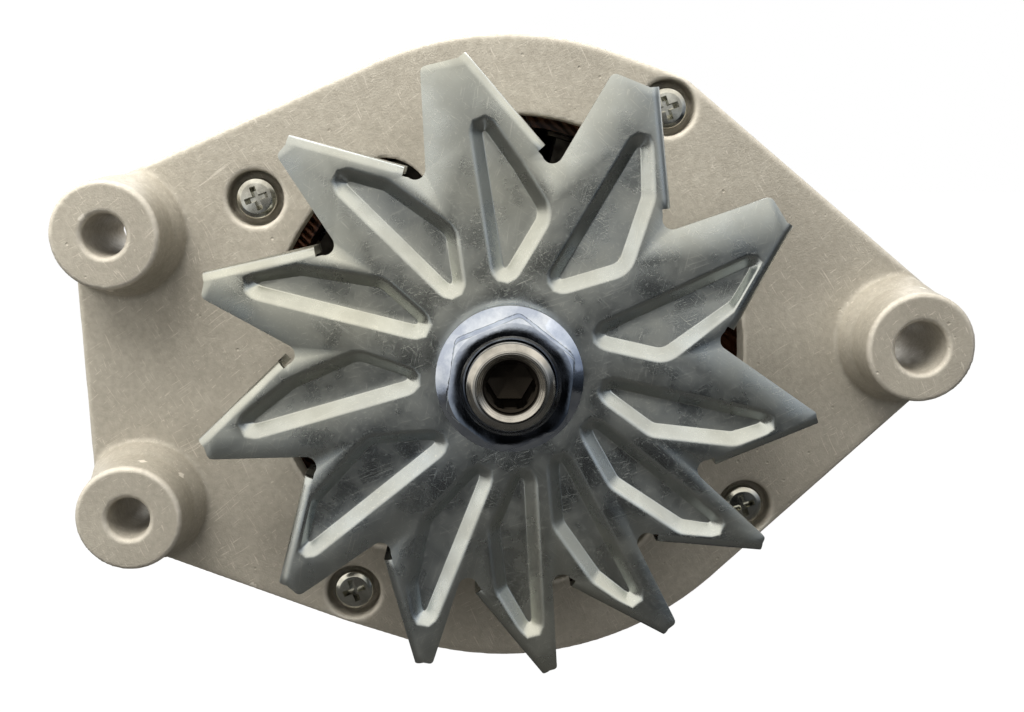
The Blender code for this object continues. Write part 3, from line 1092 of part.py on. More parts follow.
def rectifier():
    """Two heat sinks with three diodes each, and the board that joins them to the winding."""
    crescent = sector(HEAT_SINK_INNER_RADIUS, HEAT_SINK_OUTER_RADIUS, HEAT_SINK_START, HEAT_SINK_END)
    seat = DIODE_RADIUS + SEAT_GAP
    layers = (("negative", NEGATIVE_DIODE_ANGLES, NEGATIVE_TOP, NEGATIVE_FOOT, -1),
              ("positive", POSITIVE_DIODE_ANGLES, POSITIVE_TOP, POSITIVE_FOOT, 1))
    for side, angles, top, foot, toward in layers:
        spots = [polar(DIODE_CIRCLE_RADIUS, angle) for angle in angles]
        loops = [crescent] + [ring(spot, seat, TINY_ROUND) for spot in spots]
        if side == "positive":
            loops.append(ring((STUD_CIRCLE_RADIUS, 0), STUD_RADIUS + SEAT_GAP, SMALL_ROUND))
        slab(f"{side}_heat_sink", loops, top, foot, PLATE_ALUMINIUM)
        base = (top if toward < 0 else foot) + toward * SEAT_GAP
        for index, spot in enumerate(spots, 1):
            diode(f"{side}_diode_{index}", spot, base, toward)
    board = [sector(BOARD_INNER_RADIUS, BOARD_OUTER_RADIUS, HEAT_SINK_START, HEAT_SINK_END)]
    for angle in NEGATIVE_DIODE_ANGLES + POSITIVE_DIODE_ANGLES:
        board.append(ring(polar(DIODE_CIRCLE_RADIUS, angle), DIODE_LEAD_RADIUS + SEAT_GAP, TINY_ROUND))
    for angle in LEAD_ANGLES:
        board.append(ring(polar(LEAD_CIRCLE_RADIUS, angle), LEAD_RADIUS + SEAT_GAP, TINY_ROUND))
    plate = slab("phase_terminal_board", board, BOARD_TOP, BOARD_FOOT, BLACK_PLASTIC)
    for index, angle in enumerate(PILLAR_ANGLES, 1):
        add(plate, rod(f"board_pillar_{index}", PILLAR_RADIUS, NEGATIVE_FOOT - SEAT_GAP, POSITIVE_TOP + SEAT_GAP,
                       at=polar(PILLAR_CIRCLE_RADIUS, angle), steps=TINY_ROUND))


def diode(name, spot, base, toward):
    """A pressed-in can with a stiff lead; its lead points along toward."""
    can_end = base + toward * DIODE_HEIGHT
    lead_end = can_end + toward * DIODE_LEAD_LENGTH
    profile = [(0, lead_end), (DIODE_LEAD_RADIUS, lead_end), (DIODE_LEAD_RADIUS, can_end),
               (DIODE_RADIUS, can_end), (DIODE_RADIUS, base), (0, base)]
    if toward < 0:
        profile.reverse()
    turned(name, profile, NICKEL_CAN, None, TINY_ROUND, (*spot, 0))


def phase_leads():
    top = STATOR_FOOT - WINDING_OVERHANG - SEAT_GAP
    for index, angle in enumerate(LEAD_ANGLES, 1):
        x, y = polar(LEAD_CIRCLE_RADIUS, angle)
        name = f"phase_lead_{index}"
        curve = bpy.data.curves.new(name, "CURVE")
        curve.dimensions = "3D"
        curve.bevel_depth = LEAD_RADIUS
        curve.bevel_resolution = 2
        curve.use_fill_caps = True
        spline = curve.splines.new("POLY")
        spline.points.add(1)
        spline.points[0].co = (x, y, top, 1)
        spline.points[1].co = (x, y, BOARD_FOOT - SEAT_GAP, 1)
        lead = bpy.data.objects.new(name, curve)
        lead.parent = MACHINE
        curve.materials.append(COPPER_WIRE)
        PARTS.objects.link(lead)


def output_stud():
    at = (STUD_CIRCLE_RADIUS, 0, 0)
    head_foot = POSITIVE_TOP + SEAT_GAP
    turned("battery_stud", [
        (0, head_foot + STUD_HEAD_HEIGHT), (STUD_HEAD_RADIUS, head_foot + STUD_HEAD_HEIGHT),
        (STUD_HEAD_RADIUS, head_foot), (STUD_RADIUS, head_foot), (STUD_RADIUS, STUD_END), (0, STUD_END)],
        BRASS_STUD, None, SMALL_ROUND, at)
    bore = STUD_RADIUS + SEAT_GAP
    flange_top = COVER_FACE - SEAT_GAP
    flange_foot = flange_top - STUD_BUSH_FLANGE_HEIGHT
    turned("battery_stud_insulator", [
        (STUD_BUSH_RADIUS, POSITIVE_FOOT - SEAT_GAP), (STUD_BUSH_RADIUS, flange_top),
        (STUD_BUSH_FLANGE, flange_top), (STUD_BUSH_FLANGE, flange_foot), (bore, flange_foot),
        (bore, POSITIVE_FOOT - SEAT_GAP)], RED_PLASTIC, None, SMALL_ROUND, at)
    nut_top = flange_foot - SEAT_GAP
    nut = rod("battery_stud_nut", STUD_NUT_ACROSS_FLATS / 2 / cos(pi / 6), nut_top, nut_top - STUD_NUT_HEIGHT,
              BRASS_STUD, at=at[:2], steps=6)
    cut(nut, rod("stud_nut_bore", bore, nut_top + PLATE_EDGE, nut_top - STUD_NUT_HEIGHT - PLATE_EDGE,
                 at=at[:2], steps=SMALL_ROUND))


def rear_cover(blade_y):
    rim = REAR_FACE - SEAT_GAP
    inside = COVER_RADIUS - COVER_WALL
    cover = turned("rear_cover", [
        (COVER_RADIUS, rim), (COVER_RADIUS, COVER_FACE + COVER_EDGE), (COVER_RADIUS - COVER_EDGE, COVER_FACE),
        (0, COVER_FACE), (0, COVER_INSIDE), (inside - COVER_EDGE, COVER_INSIDE),
        (inside, COVER_INSIDE + COVER_EDGE), (inside, rim)], BLACK_PLASTIC)
    for index, angle in enumerate(COVER_SCREW_ANGLES, 1):
        at = polar(COVER_SCREW_CIRCLE, angle)
        add(cover, rod(f"cover_post_{index}", COVER_POST_RADIUS, rim, COVER_FACE + COVER_WALL / 2, at=at,
                       steps=TINY_ROUND))
    slot_pitch = (COVER_SLOT_LAST - COVER_SLOT_FIRST) / (COVER_SLOT_COUNT - 1)
    starts = [COVER_SLOT_FIRST + index * slot_pitch for index in range(COVER_SLOT_COUNT)]
    slots = slab("cover_slots", [
        sector(COVER_SLOT_INNER_RADIUS, COVER_SLOT_OUTER_RADIUS, start, start + COVER_SLOT_WIDTH)
        for start in starts], COVER_INSIDE + PLATE_EDGE, COVER_FACE - PLATE_EDGE)
    stud_hole = rod("cover_stud_hole", STUD_BUSH_RADIUS + SEAT_GAP, COVER_INSIDE + PLATE_EDGE,
                    COVER_FACE - PLATE_EDGE, at=(STUD_CIRCLE_RADIUS, 0))
    half_width, half_height = BLADE_HOLE_WIDTH / 2, BLADE_HOLE_HEIGHT / 2
    blade_hole = block("cover_blade_hole", (-half_width, blade_y - half_height, COVER_FACE - PLATE_EDGE),
                       (half_width, blade_y + half_height, COVER_INSIDE + PLATE_EDGE))
    cut(cover, slots, stud_hole, blade_hole)
    head_top = COVER_FACE - SEAT_GAP - COVER_SCREW_HEAD_HEIGHT
    length = REAR_FACE + COVER_SCREW_GRIP - (head_top + COVER_SCREW_HEAD_HEIGHT)
    for index, angle in enumerate(COVER_SCREW_ANGLES, 1):
        at = polar(COVER_SCREW_CIRCLE, angle)
        cut(cover, rod(f"cover_hole_{index}", COVER_SCREW_RADIUS + SEAT_GAP, rim + PLATE_EDGE,
                       COVER_FACE - PLATE_EDGE, at=at, steps=TINY_ROUND))
        headed_screw(f"cover_screw_{index}", at, COVER_SCREW_HEAD, COVER_SCREW_HEAD_HEIGHT, head_top,
                     COVER_SCREW_RADIUS, length, ZINC_SCREW, toward=-1, recess=False)
    return cover


clear_scene()
PARTS = new_collection("generator_alternator_head")
TOOLS = new_collection("cutters")

CAST_ALUMINIUM = finish("cast_aluminium", (0.42, 0.40, 0.37), 1.0, 0.55)
ZINC_SHEET = finish("zinc_plated_sheet", (0.52, 0.54, 0.50), 1.0, 0.35)
ZINC_NUT = finish("zinc_plated_nut", (0.50, 0.54, 0.58), 1.0, 0.22)
ZINC_SCREW = finish("zinc_plated_screw", (0.56, 0.57, 0.56), 1.0, 0.30)
SHAFT_STEEL = finish("ground_shaft_steel", (0.55, 0.50, 0.44), 1.0, 0.28)
STEEL_SHEET = finish("steel_sheet", (0.40, 0.40, 0.40), 1.0, 0.40)
BEARING_STEEL = finish("bearing_steel", (0.60, 0.60, 0.60), 1.0, 0.20)
POLE_IRON = finish("forged_pole_iron", (0.10, 0.10, 0.10), 0.6, 0.60)
LAMINATED_STEEL = finish("laminated_steel", (0.22, 0.22, 0.22), 0.8, 0.50)
COPPER_WIRE = finish("enamelled_copper", (0.50, 0.20, 0.08), 0.8, 0.35)
COPPER_RING = finish("copper_ring", (0.80, 0.45, 0.30), 1.0, 0.25)
PLATE_ALUMINIUM = finish("plate_aluminium", (0.60, 0.60, 0.60), 1.0, 0.40)
NICKEL_CAN = finish("nickel_plated_can", (0.62, 0.58, 0.52), 1.0, 0.30)
TIN_PLATE = finish("tin_plated_brass", (0.66, 0.64, 0.60), 1.0, 0.30)
BRASS_STUD = finish("brass_stud", (0.70, 0.52, 0.22), 1.0, 0.30)
SPRING_STEEL = finish("spring_steel", (0.45, 0.45, 0.45), 1.0, 0.30)
BRUSH_CARBON = finish("brush_carbon", (0.05, 0.05, 0.05), 0.2, 0.60)
BLACK_PLASTIC = finish("black_plastic", (0.03, 0.03, 0.03), 0.0, 0.50)
WHITE_PLASTIC = finish("natural_nylon", (0.75, 0.73, 0.66), 0.0, 0.50)
RED_PLASTIC = finish("red_nylon", (0.45, 0.06, 0.04), 0.0, 0.50)

MACHINE = empty("alternator_axis", rotation=(pi / 2, 0, 0))
ROTOR = empty("rotor_axis", MACHINE)
FRONT_CAGE = empty("front_cage_axis", MACHINE)
REAR_CAGE = empty("rear_cage_axis", MACHINE)

drive_end_bracket()
through_bolts()
bearing_retainer()
ball_bearing("front", FRONT_BEARING_BORE, FRONT_BEARING_RADIUS, FRONT_BEARING_TOP, FRONT_BEARING_HEIGHT,
             FRONT_BALL_RADIUS, FRONT_BALL_COUNT, ROTOR, FRONT_CAGE)
ball_bearing("rear", REAR_BEARING_BORE, REAR_BEARING_RADIUS, REAR_BEARING_TOP, REAR_BEARING_HEIGHT,
             REAR_BALL_RADIUS, REAR_BALL_COUNT, ROTOR, REAR_CAGE)
rear_bearing_sleeve()
rotor_shaft()
fan_spacer()
cooling_fan()
flange_nut()
claw_pole("front_claw_pole", 1, 0.0)
claw_pole("rear_claw_pole", -1, 180 / POLE_COUNT)
field_coil()
stator_core()
stator_winding()
slip_ring_end_bracket()
slip_rings()
brush_gear()
LAMP_BLADE_HEIGHT = voltage_regulator()
rectifier()
phase_leads()
output_stud()
rear_cover(LAMP_BLADE_HEIGHT)
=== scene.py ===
# %% [markdown]
# An alternator head, dressed for its portrait
#
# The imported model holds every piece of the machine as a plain, true-sized solid. This lesson takes
# that frame and gives each piece the surface that the real one has: a blasted casting, a stamped and
# zinc-plated fan, a bright nut and a turned shaft. Pieces that show their making, such as the fan's
# pressed fields, are modelled again here with finer meshes, inside the same sizes.

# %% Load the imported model
import json
from math import acos, asin, atan2, ceil, cos, degrees, hypot, radians, sin, sqrt, tan

import bmesh
import bpy
from mathutils import Matrix, Vector
from mathutils.geometry import delaunay_2d_cdt

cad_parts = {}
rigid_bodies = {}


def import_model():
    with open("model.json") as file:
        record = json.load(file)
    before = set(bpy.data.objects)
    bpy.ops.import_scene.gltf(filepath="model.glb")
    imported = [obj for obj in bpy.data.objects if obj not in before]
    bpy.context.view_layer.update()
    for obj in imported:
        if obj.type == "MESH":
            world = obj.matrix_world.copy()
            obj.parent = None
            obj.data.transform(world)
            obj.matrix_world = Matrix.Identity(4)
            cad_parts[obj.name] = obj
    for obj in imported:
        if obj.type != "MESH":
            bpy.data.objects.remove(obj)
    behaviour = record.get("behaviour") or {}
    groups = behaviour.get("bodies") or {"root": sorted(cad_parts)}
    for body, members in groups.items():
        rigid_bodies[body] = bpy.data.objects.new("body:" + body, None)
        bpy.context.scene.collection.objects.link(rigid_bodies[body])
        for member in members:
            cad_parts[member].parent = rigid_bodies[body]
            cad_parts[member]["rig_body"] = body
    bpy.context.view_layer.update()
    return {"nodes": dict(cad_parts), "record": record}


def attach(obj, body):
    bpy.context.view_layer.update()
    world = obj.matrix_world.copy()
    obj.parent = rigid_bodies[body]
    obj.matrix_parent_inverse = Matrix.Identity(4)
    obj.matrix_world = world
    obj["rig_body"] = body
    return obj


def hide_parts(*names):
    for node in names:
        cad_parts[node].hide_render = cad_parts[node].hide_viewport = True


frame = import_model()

scene = bpy.context.scene
MM = 0.001
print("packed nodes:", len(frame["nodes"]))

# %% [markdown]
# The camera
#
# A lens could be guessed and the object turned until it looks right. It is surer to solve the camera
# from points whose places are known: the bolt circle, the ears and the slots of the fan. They put the
# lens at 42 mm, about 23 cm in front of the ears and 4 cm above the shaft, looking down by nine
# degrees. The short distance is why the ears look longer on the outside of the picture.

# %% Camera
lens_camera = bpy.data.cameras.new("portrait_camera")
lens_camera.sensor_width = 36.0
lens_camera.lens = 1191.6 * 36.0 / 1024
lens_camera.clip_start = 0.01
camera = bpy.data.objects.new("portrait_camera", lens_camera)
scene.collection.objects.link(camera)
level_view = Matrix(((1, 0, 0), (0, 0, -1), (0, 1, 0)))
aim = Matrix.Rotation(radians(-1.67), 3, "Y") @ Matrix.Rotation(radians(9.02), 3, "X")
right, down, ahead = aim @ level_view
stand = Matrix.Translation((-0.0060, -0.2306, 0.0388))
camera.matrix_world = stand @ Matrix((right, -down, -ahead)).transposed().to_4x4()
scene.camera = camera
scene.view_settings.view_transform = "Standard"
print("lens mm:", round(lens_camera.lens, 2))

# %% [markdown]
# Colour and nodes
#
# Colours are given as hex values, which are sRGB, while Blender's shaders work in linear
# light. One function turns one into the other, so no colour is ever typed in linear by guess. A second
# small function adds a node with its settings and its links, and every material below is built on it.

# %% Helpers for colours and nodes
def linear(code):
    """A hex colour as linear RGBA."""
    parts = [int(code[index:index + 2], 16) / 255 for index in (1, 3, 5)]
    plain = [part / 12.92 if part <= 0.04045 else ((part + 0.055) / 1.055) ** 2.4 for part in parts]
    return (*plain, 1.0)


def add(tree, kind, settings=None, links=None):
    """Adds a node. A link's value is a socket to join, or else a plain value to set."""
    node = tree.nodes.new(kind)
    for key, value in (settings or {}).items():
        setattr(node, key, value)
    for key, value in (links or {}).items():
        if isinstance(value, bpy.types.NodeSocket):
            tree.links.new(value, node.inputs[key])
        else:
            node.inputs[key].default_value = value
    return node


# %% [markdown]
# Light and background
#
# The photograph is a product shot on white. A white background needs no bright lamp: rays that come
# from the camera simply see a world and a paper of strength 1, and reflected rays see the same white
# wherever it stands behind the object. Metal, though, shows what is in front of it. The nut's face in
# the photograph is nearly black, its upper facets are white, and each wall of the fan is cream where it
# faces up and dark where it faces down. So the room glows above and on the left, fades towards the
# floor, and is dark round the camera, where the photographer stood. Matt surfaces get only a third of
# that glow. The rest of their light comes from a near lamp above and on the left, which mirrors don't
# show, so that the casting has a pale side and the nut has no bright square in it.

# %% World and lamps
def blend_colours(tree, amount, first, second):
    """Two hex colours, or sockets, mixed by an amount."""
    ends = [value if isinstance(value, bpy.types.NodeSocket) else linear(value)
            for value in (first, second)]
    mix = add(tree, "ShaderNodeMix", {"data_type": "RGBA"}, {"Factor": amount, 6: ends[0], 7: ends[1]})
    return mix.outputs[2]


def calculate(tree, operation, first, second):
    """The result of a Math node with two inputs."""
    return add(tree, "ShaderNodeMath", {"operation": operation}, {0: first, 1: second}).outputs[0]


def ramp(tree, value, start, end, low=0.0, high=1.0):
    """A number that goes from low to high, smoothly, while the value goes from start to end."""
    node = add(tree, "ShaderNodeMapRange", {"interpolation_type": "SMOOTHSTEP", "clamp": True}, {
        "Value": value, "From Min": start, "From Max": end, "To Min": low, "To Max": high})
    return node.outputs[0]


world = bpy.data.worlds.new("white_studio")
world.use_nodes = True
scene.world = world
sky = world.node_tree
sky.nodes.clear()
ray = add(sky, "ShaderNodeLightPath")
toward = add(sky, "ShaderNodeSeparateXYZ", {}, {0: add(sky, "ShaderNodeTexCoord").outputs["Generated"]})
lean = calculate(sky, "MULTIPLY", toward.outputs["X"], -0.40)
above = ramp(sky, calculate(sky, "ADD", toward.outputs["Z"], lean), -0.60, 0.50, 0.02, 1.42)
facing = add(sky, "ShaderNodeVectorMath", {"operation": "DOT_PRODUCT"}, {
    0: add(sky, "ShaderNodeTexCoord").outputs["Generated"], 1: (0.05, -0.97, -0.22)})
photographer = ramp(sky, facing.outputs["Value"], 0.945, 0.978, 1.0, 0.01)
room = calculate(sky, "MULTIPLY", above, photographer)
backdrop = ramp(sky, toward.outputs["Y"], 0.25, 0.55)
glow = calculate(sky, "MAXIMUM", room, backdrop)
seen = calculate(sky, "MAXIMUM", ray.outputs["Is Camera Ray"], ray.outputs["Is Transmission Ray"])
mirrored_white = calculate(sky, "MULTIPLY", ray.outputs["Is Glossy Ray"], backdrop)
reflected = calculate(sky, "MAXIMUM", seen, mirrored_white)
tint = blend_colours(sky, ramp(sky, above, 0.02, 1.42), "#B9C6D4", "#FFFAF0")
tint = blend_colours(sky, reflected, tint, "#FFFFFF")
soft = calculate(sky, "MULTIPLY", ray.outputs["Is Diffuse Ray"], -0.65)
lit = calculate(sky, "MULTIPLY", glow, calculate(sky, "ADD", soft, 1.0))
strength = calculate(sky, "MAXIMUM", lit, reflected)
sky_light = add(sky, "ShaderNodeBackground", {}, {"Color": tint, "Strength": strength})
add(sky, "ShaderNodeOutputWorld", {}, {"Surface": sky_light.outputs[0]})


def soft_lamp(name, place, width, power, tint="#FFFFFF", mirrored=True):
    """A square lamp that faces the plate's middle, shown by mirrors or not. Power is in watts."""
    data = bpy.data.lights.new(name, "AREA")
    data.size = width
    data.energy = power
    data.color = linear(tint)[:3]
    lamp = bpy.data.objects.new(name, data)
    lamp.location = place
    lamp.rotation_euler = (Vector((0, 0.02, 0)) - Vector(place)).to_track_quat("-Z", "Y").to_euler()
    lamp.visible_glossy = mirrored
    scene.collection.objects.link(lamp)


soft_lamp("key_lamp", (-0.17, -0.20, 0.42), 0.30, 4.4, "#FFFBF3", False)
soft_lamp("fill_lamp", (0.80, -0.75, 0.25), 0.70, 0.4, "#E6EEFF")
soft_lamp("back_lamp", (0.2, 0.9, 0.8), 0.70, 3.0)
print("world nodes:", len(sky.nodes))

# %% [markdown]
# Paper floor
#
# The object stands above a sheet of white paper. Seen rays get most of the white from a glow of
# strength 1, so that the sheet and the world behind it meet without a line, and the rest from a matt
# surface, which keeps the soft shadow. Reflected rays see the sheet go dark under the object and in
# front of it, and the sheet ends a hand's width before the fan, so that the fan mirrors the room.

# %% Floor
floor_shape = bmesh.new()
bmesh.ops.create_grid(floor_shape, x_segments=24, y_segments=24, size=4.0)
bmesh.ops.translate(floor_shape, verts=floor_shape.verts, vec=(0, 3.75, 0))
floor_mesh = bpy.data.meshes.new("paper_floor")
floor_shape.to_mesh(floor_mesh)
floor_shape.free()
floor = bpy.data.objects.new("paper_floor", floor_mesh)
floor.location = (0, 0, -0.12)
scene.collection.objects.link(floor)
paper = bpy.data.materials.new("white_paper")
paper.use_nodes = True
sheet = paper.node_tree
sheet.nodes.clear()
ray = add(sheet, "ShaderNodeLightPath")
spot = add(sheet, "ShaderNodeSeparateXYZ", {}, {0: add(sheet, "ShaderNodeTexCoord").outputs["Object"]})
table_end = ramp(sheet, spot.outputs["Y"], 0.10, 0.45, 0.02, 1.0)
seen = calculate(sheet, "MAXIMUM", ray.outputs["Is Camera Ray"], ray.outputs["Is Transmission Ray"])
level = calculate(sheet, "MAXIMUM", calculate(sheet, "MULTIPLY", seen, 1.04), table_end)
mirrored = calculate(sheet, "MAXIMUM", seen, ray.outputs["Is Glossy Ray"])
share = calculate(sheet, "MULTIPLY", mirrored, 0.95)
ground = blend_colours(sheet, ray.outputs["Is Diffuse Ray"], "#F4F4F2", "#5E5C58")
matt = add(sheet, "ShaderNodeBsdfDiffuse", {}, {"Color": ground})
shine = add(sheet, "ShaderNodeEmission", {}, {"Color": (1, 1, 1, 1), "Strength": level})
both = add(sheet, "ShaderNodeMixShader", {}, {0: share, 1: matt.outputs[0], 2: shine.outputs[0]})
add(sheet, "ShaderNodeOutputMaterial", {}, {"Surface": both.outputs[0]})
floor_mesh.materials.append(paper)

# %% [markdown]
# Materials
#
# Every finish starts from what the real surface is and how it was made. Patterns read the object's own
# coordinates, which are metres, so a pattern of so many millimetres has a scale of a thousand divided
# by that size. A wave texture counts in radians times twenty, so its scale is 314.16 divided by it.
# Grain finer than about a third of a millimetre would vanish in the picture, and is drawn as coarse as
# it needs to be to show.

# %% A start for every material
def finish(name, colour, metallic, roughness):
    """A material with its shader, its node tree and its coordinates in metres."""
    material = bpy.data.materials.new(name)
    material.use_nodes = True
    tree = material.node_tree
    shader = tree.nodes["Principled BSDF"]
    shader.inputs["Base Color"].default_value = linear(colour)
    shader.inputs["Metallic"].default_value = metallic
    shader.inputs["Roughness"].default_value = roughness
    where = add(tree, "ShaderNodeTexCoord").outputs["Object"]
    return material, tree, shader, where


def cloud(tree, where, size, detail=3.0, low=0.35, high=0.65):
    """A soft noise of blotches of that many millimetres, spread out between 0 and 1."""
    noise = add(tree, "ShaderNodeTexNoise", {}, {"Vector": where, "Scale": 1000 / size, "Detail": detail})
    spread = add(tree, "ShaderNodeMapRange", {"clamp": True},
                 {"Value": noise.outputs["Fac"], "From Min": low, "From Max": high})
    return spread.outputs[0]


def between(tree, amount, low, high):
    """A number that runs from low to high as the amount runs from 0 to 1."""
    return add(tree, "ShaderNodeMapRange", {}, {"Value": amount, "To Min": low, "To Max": high}).outputs[0]


def relief(tree, height, depth, below=None):
    """A bump of that many millimetres, on top of another bump if one is given."""
    links = {"Height": height, "Distance": depth * MM, "Strength": 1.0}
    if below:
        links["Normal"] = below
    return add(tree, "ShaderNodeBump", {}, links).outputs[0]


def stretched(tree, where, turn, length, width):
    """A noise drawn out one way: turned about the depth axis first, and only then stretched."""
    bend = add(tree, "ShaderNodeTexNoise", {}, {"Vector": where, "Scale": 1000 / 16, "Detail": 0.0})
    sway = add(tree, "ShaderNodeVectorMath", {"operation": "SCALE"},
               {0: bend.outputs["Color"], "Scale": 0.004})
    swayed = add(tree, "ShaderNodeVectorMath", {"operation": "ADD"}, {0: where, 1: sway.outputs[0]})
    turned = add(tree, "ShaderNodeMapping", {},
                 {"Vector": swayed.outputs[0], "Rotation": (0, radians(turn), 0)})
    lie = add(tree, "ShaderNodeMapping", {}, {
        "Vector": turned.outputs[0], "Scale": (1000 / length, 1000 / width, 1000 / width)})
    noise = add(tree, "ShaderNodeTexNoise", {}, {"Vector": lie.outputs[0], "Scale": 1.0, "Detail": 1.0})
    return noise.outputs["Fac"]


def scuffs(tree, where, turns, length, width, share):
    """Fine scratches in several directions: each noise is cut off near its top, so few lines are left."""
    marks = None
    for turn in turns:
        line = add(tree, "ShaderNodeMapRange", {"clamp": True}, {
            "Value": stretched(tree, where, turn, length, width),
            "From Min": 1 - share, "From Max": 1.03 - share})
        marks = calculate(tree, "MAXIMUM", marks, line.outputs[0]) if marks else line.outputs[0]
    return marks


MATERIALS = {}
WAVE = 314.16

# %% [markdown]
# Die-cast aluminium, glass-bead blasted
#
# The two brackets are aluminium castings that were blasted clean. Blasting leaves tiny dents that
# scatter light, so the metal looks like warm grey stone more than like a mirror. Corners that were
# knocked about are brighter, fine grey specks lie all over, and a few pores of the casting are open.
# Real bead dents are a tenth of a millimetre; here they are drawn at 0.35 mm so that they show.

# %% Blasted cast aluminium
def blasted_aluminium(name, pale, dark):
    material, tree, shader, where = finish(name, pale, 0.45, 0.56)
    patches = cloud(tree, where, 26, 4.0)
    mottle = cloud(tree, where, 1.1, 2.0, 0.30, 0.70)
    dents = add(tree, "ShaderNodeTexNoise", {},
                {"Vector": where, "Scale": 1000 / 0.35, "Detail": 3.0}).outputs["Fac"]
    tone = blend_colours(tree, patches, pale, dark)
    speck = blend_colours(tree, between(tree, mottle, 0.0, 0.30), tone, "#9A9388")
    edge = add(tree, "ShaderNodeMapRange", {"clamp": True}, {
        "Value": add(tree, "ShaderNodeNewGeometry").outputs["Pointiness"],
        "From Min": 0.508, "From Max": 0.55})
    worn = blend_colours(tree, between(tree, edge.outputs[0], 0.0, 0.80), speck, "#F3EEE4")
    scratch = scuffs(tree, where, (35, 118), 9, 0.22, 0.315)
    worn = blend_colours(tree, between(tree, scratch, 0.0, 0.45), worn, "#EDE7DC")
    tree.links.new(worn, shader.inputs["Base Color"])
    tree.links.new(between(tree, mottle, 0.50, 0.64), shader.inputs["Roughness"])
    pores = add(tree, "ShaderNodeTexVoronoi", {"feature": "F1"}, {"Vector": where, "Scale": 1000 / 4.5})
    pore = add(tree, "ShaderNodeMapRange", {"clamp": True},
               {"Value": pores.outputs["Distance"], "From Min": 0.04, "From Max": 0.08})
    grit = relief(tree, dents, 0.07)
    tree.links.new(relief(tree, pore.outputs[0], 0.08, grit), shader.inputs["Normal"])
    return material


MATERIALS["cast_aluminium"] = blasted_aluminium("die_cast_aluminium_bead_blasted", "#CBC6BA", "#B5B0A5")
print("casting nodes:", len(bpy.data.materials["die_cast_aluminium_bead_blasted"].node_tree.nodes))

# %% [markdown]
# Zinc-plated steel sheet
#
# The fan is stamped from 1.5 mm steel and plated with zinc, then dipped in a clear chromate. That gives
# a satin metal with a grey-green cast that turns bluish where the coat is thinner. Handling leaves fine
# scratches all over and dull clouds, and the rolled sheet is never quite flat, so its reflections swim.

# %% Zinc-plated sheet
def zinc_sheet():
    material, tree, shader, where = finish("steel_sheet_zinc_plated_clear_chromate", "#C4C6BC", 1.0, 0.29)
    drift = cloud(tree, where, 50, 2.0)
    dull = cloud(tree, where, 6, 5.0)
    tone = blend_colours(tree, drift, "#C9CABF", "#B4BCC1")
    tone = blend_colours(tree, between(tree, dull, 0.0, 0.35), tone, "#A7A8A0")
    marks = scuffs(tree, where, (20, 75, 140), 11, 0.13, 0.312)
    tone = blend_colours(tree, between(tree, marks, 0.0, 0.45), tone, "#E6E6DC")
    tree.links.new(tone, shader.inputs["Base Color"])
    tree.links.new(between(tree, dull, 0.23, 0.35), shader.inputs["Roughness"])
    swim = relief(tree, add(tree, "ShaderNodeTexNoise", {}, {
        "Vector": where, "Scale": 1000 / 11, "Detail": 1.0}).outputs["Fac"], 0.10)
    fine = relief(tree, add(tree, "ShaderNodeTexNoise", {}, {
        "Vector": where, "Scale": 1000 / 0.35, "Detail": 2.0}).outputs["Fac"], 0.007, swim)
    tree.links.new(relief(tree, marks, 0.004, fine), shader.inputs["Normal"])
    return material


MATERIALS["zinc_plated_sheet"] = zinc_sheet()

# %% [markdown]
# Bright zinc on nut and screws
#
# Small fasteners are barrel plated. They tumble against each other, so their zinc is smoother and bluer
# than the fan's, with a shine that soft dents break up. The screws sit in blasted holes and carry a
# little of the grey dust.

# %% Zinc-plated nut and screws
def barrel_zinc(name, pale, dark, roughness):
    material, tree, shader, where = finish(name, pale, 1.0, roughness)
    smear = cloud(tree, where, 4, 3.0)
    tree.links.new(blend_colours(tree, smear, pale, dark), shader.inputs["Base Color"])
    tree.links.new(between(tree, smear, roughness - 0.03, roughness + 0.08), shader.inputs["Roughness"])
    dents = add(tree, "ShaderNodeTexNoise", {},
                {"Vector": where, "Scale": 1000 / 1.4, "Detail": 3.0}).outputs["Fac"]
    tree.links.new(relief(tree, dents, 0.015), shader.inputs["Normal"])
    return material


MATERIALS["zinc_plated_nut"] = barrel_zinc("flange_nut_zinc_barrel_plated", "#D2D9E4", "#A7B0C2", 0.08)
MATERIALS["zinc_plated_screw"] = barrel_zinc("screw_zinc_barrel_plated", "#DDDDD4", "#A9A79E", 0.16)

# %% [markdown]
# Turned and ground steel
#
# The shaft was turned on a lathe and its seats were ground. A tool that feeds along while the work
# spins cuts a fine spiral, and the eye reads it as rings round the axis. The rings here are 0.35 mm
# apart, twice as coarse as real ones. Oil and handling have warmed the grey a little.

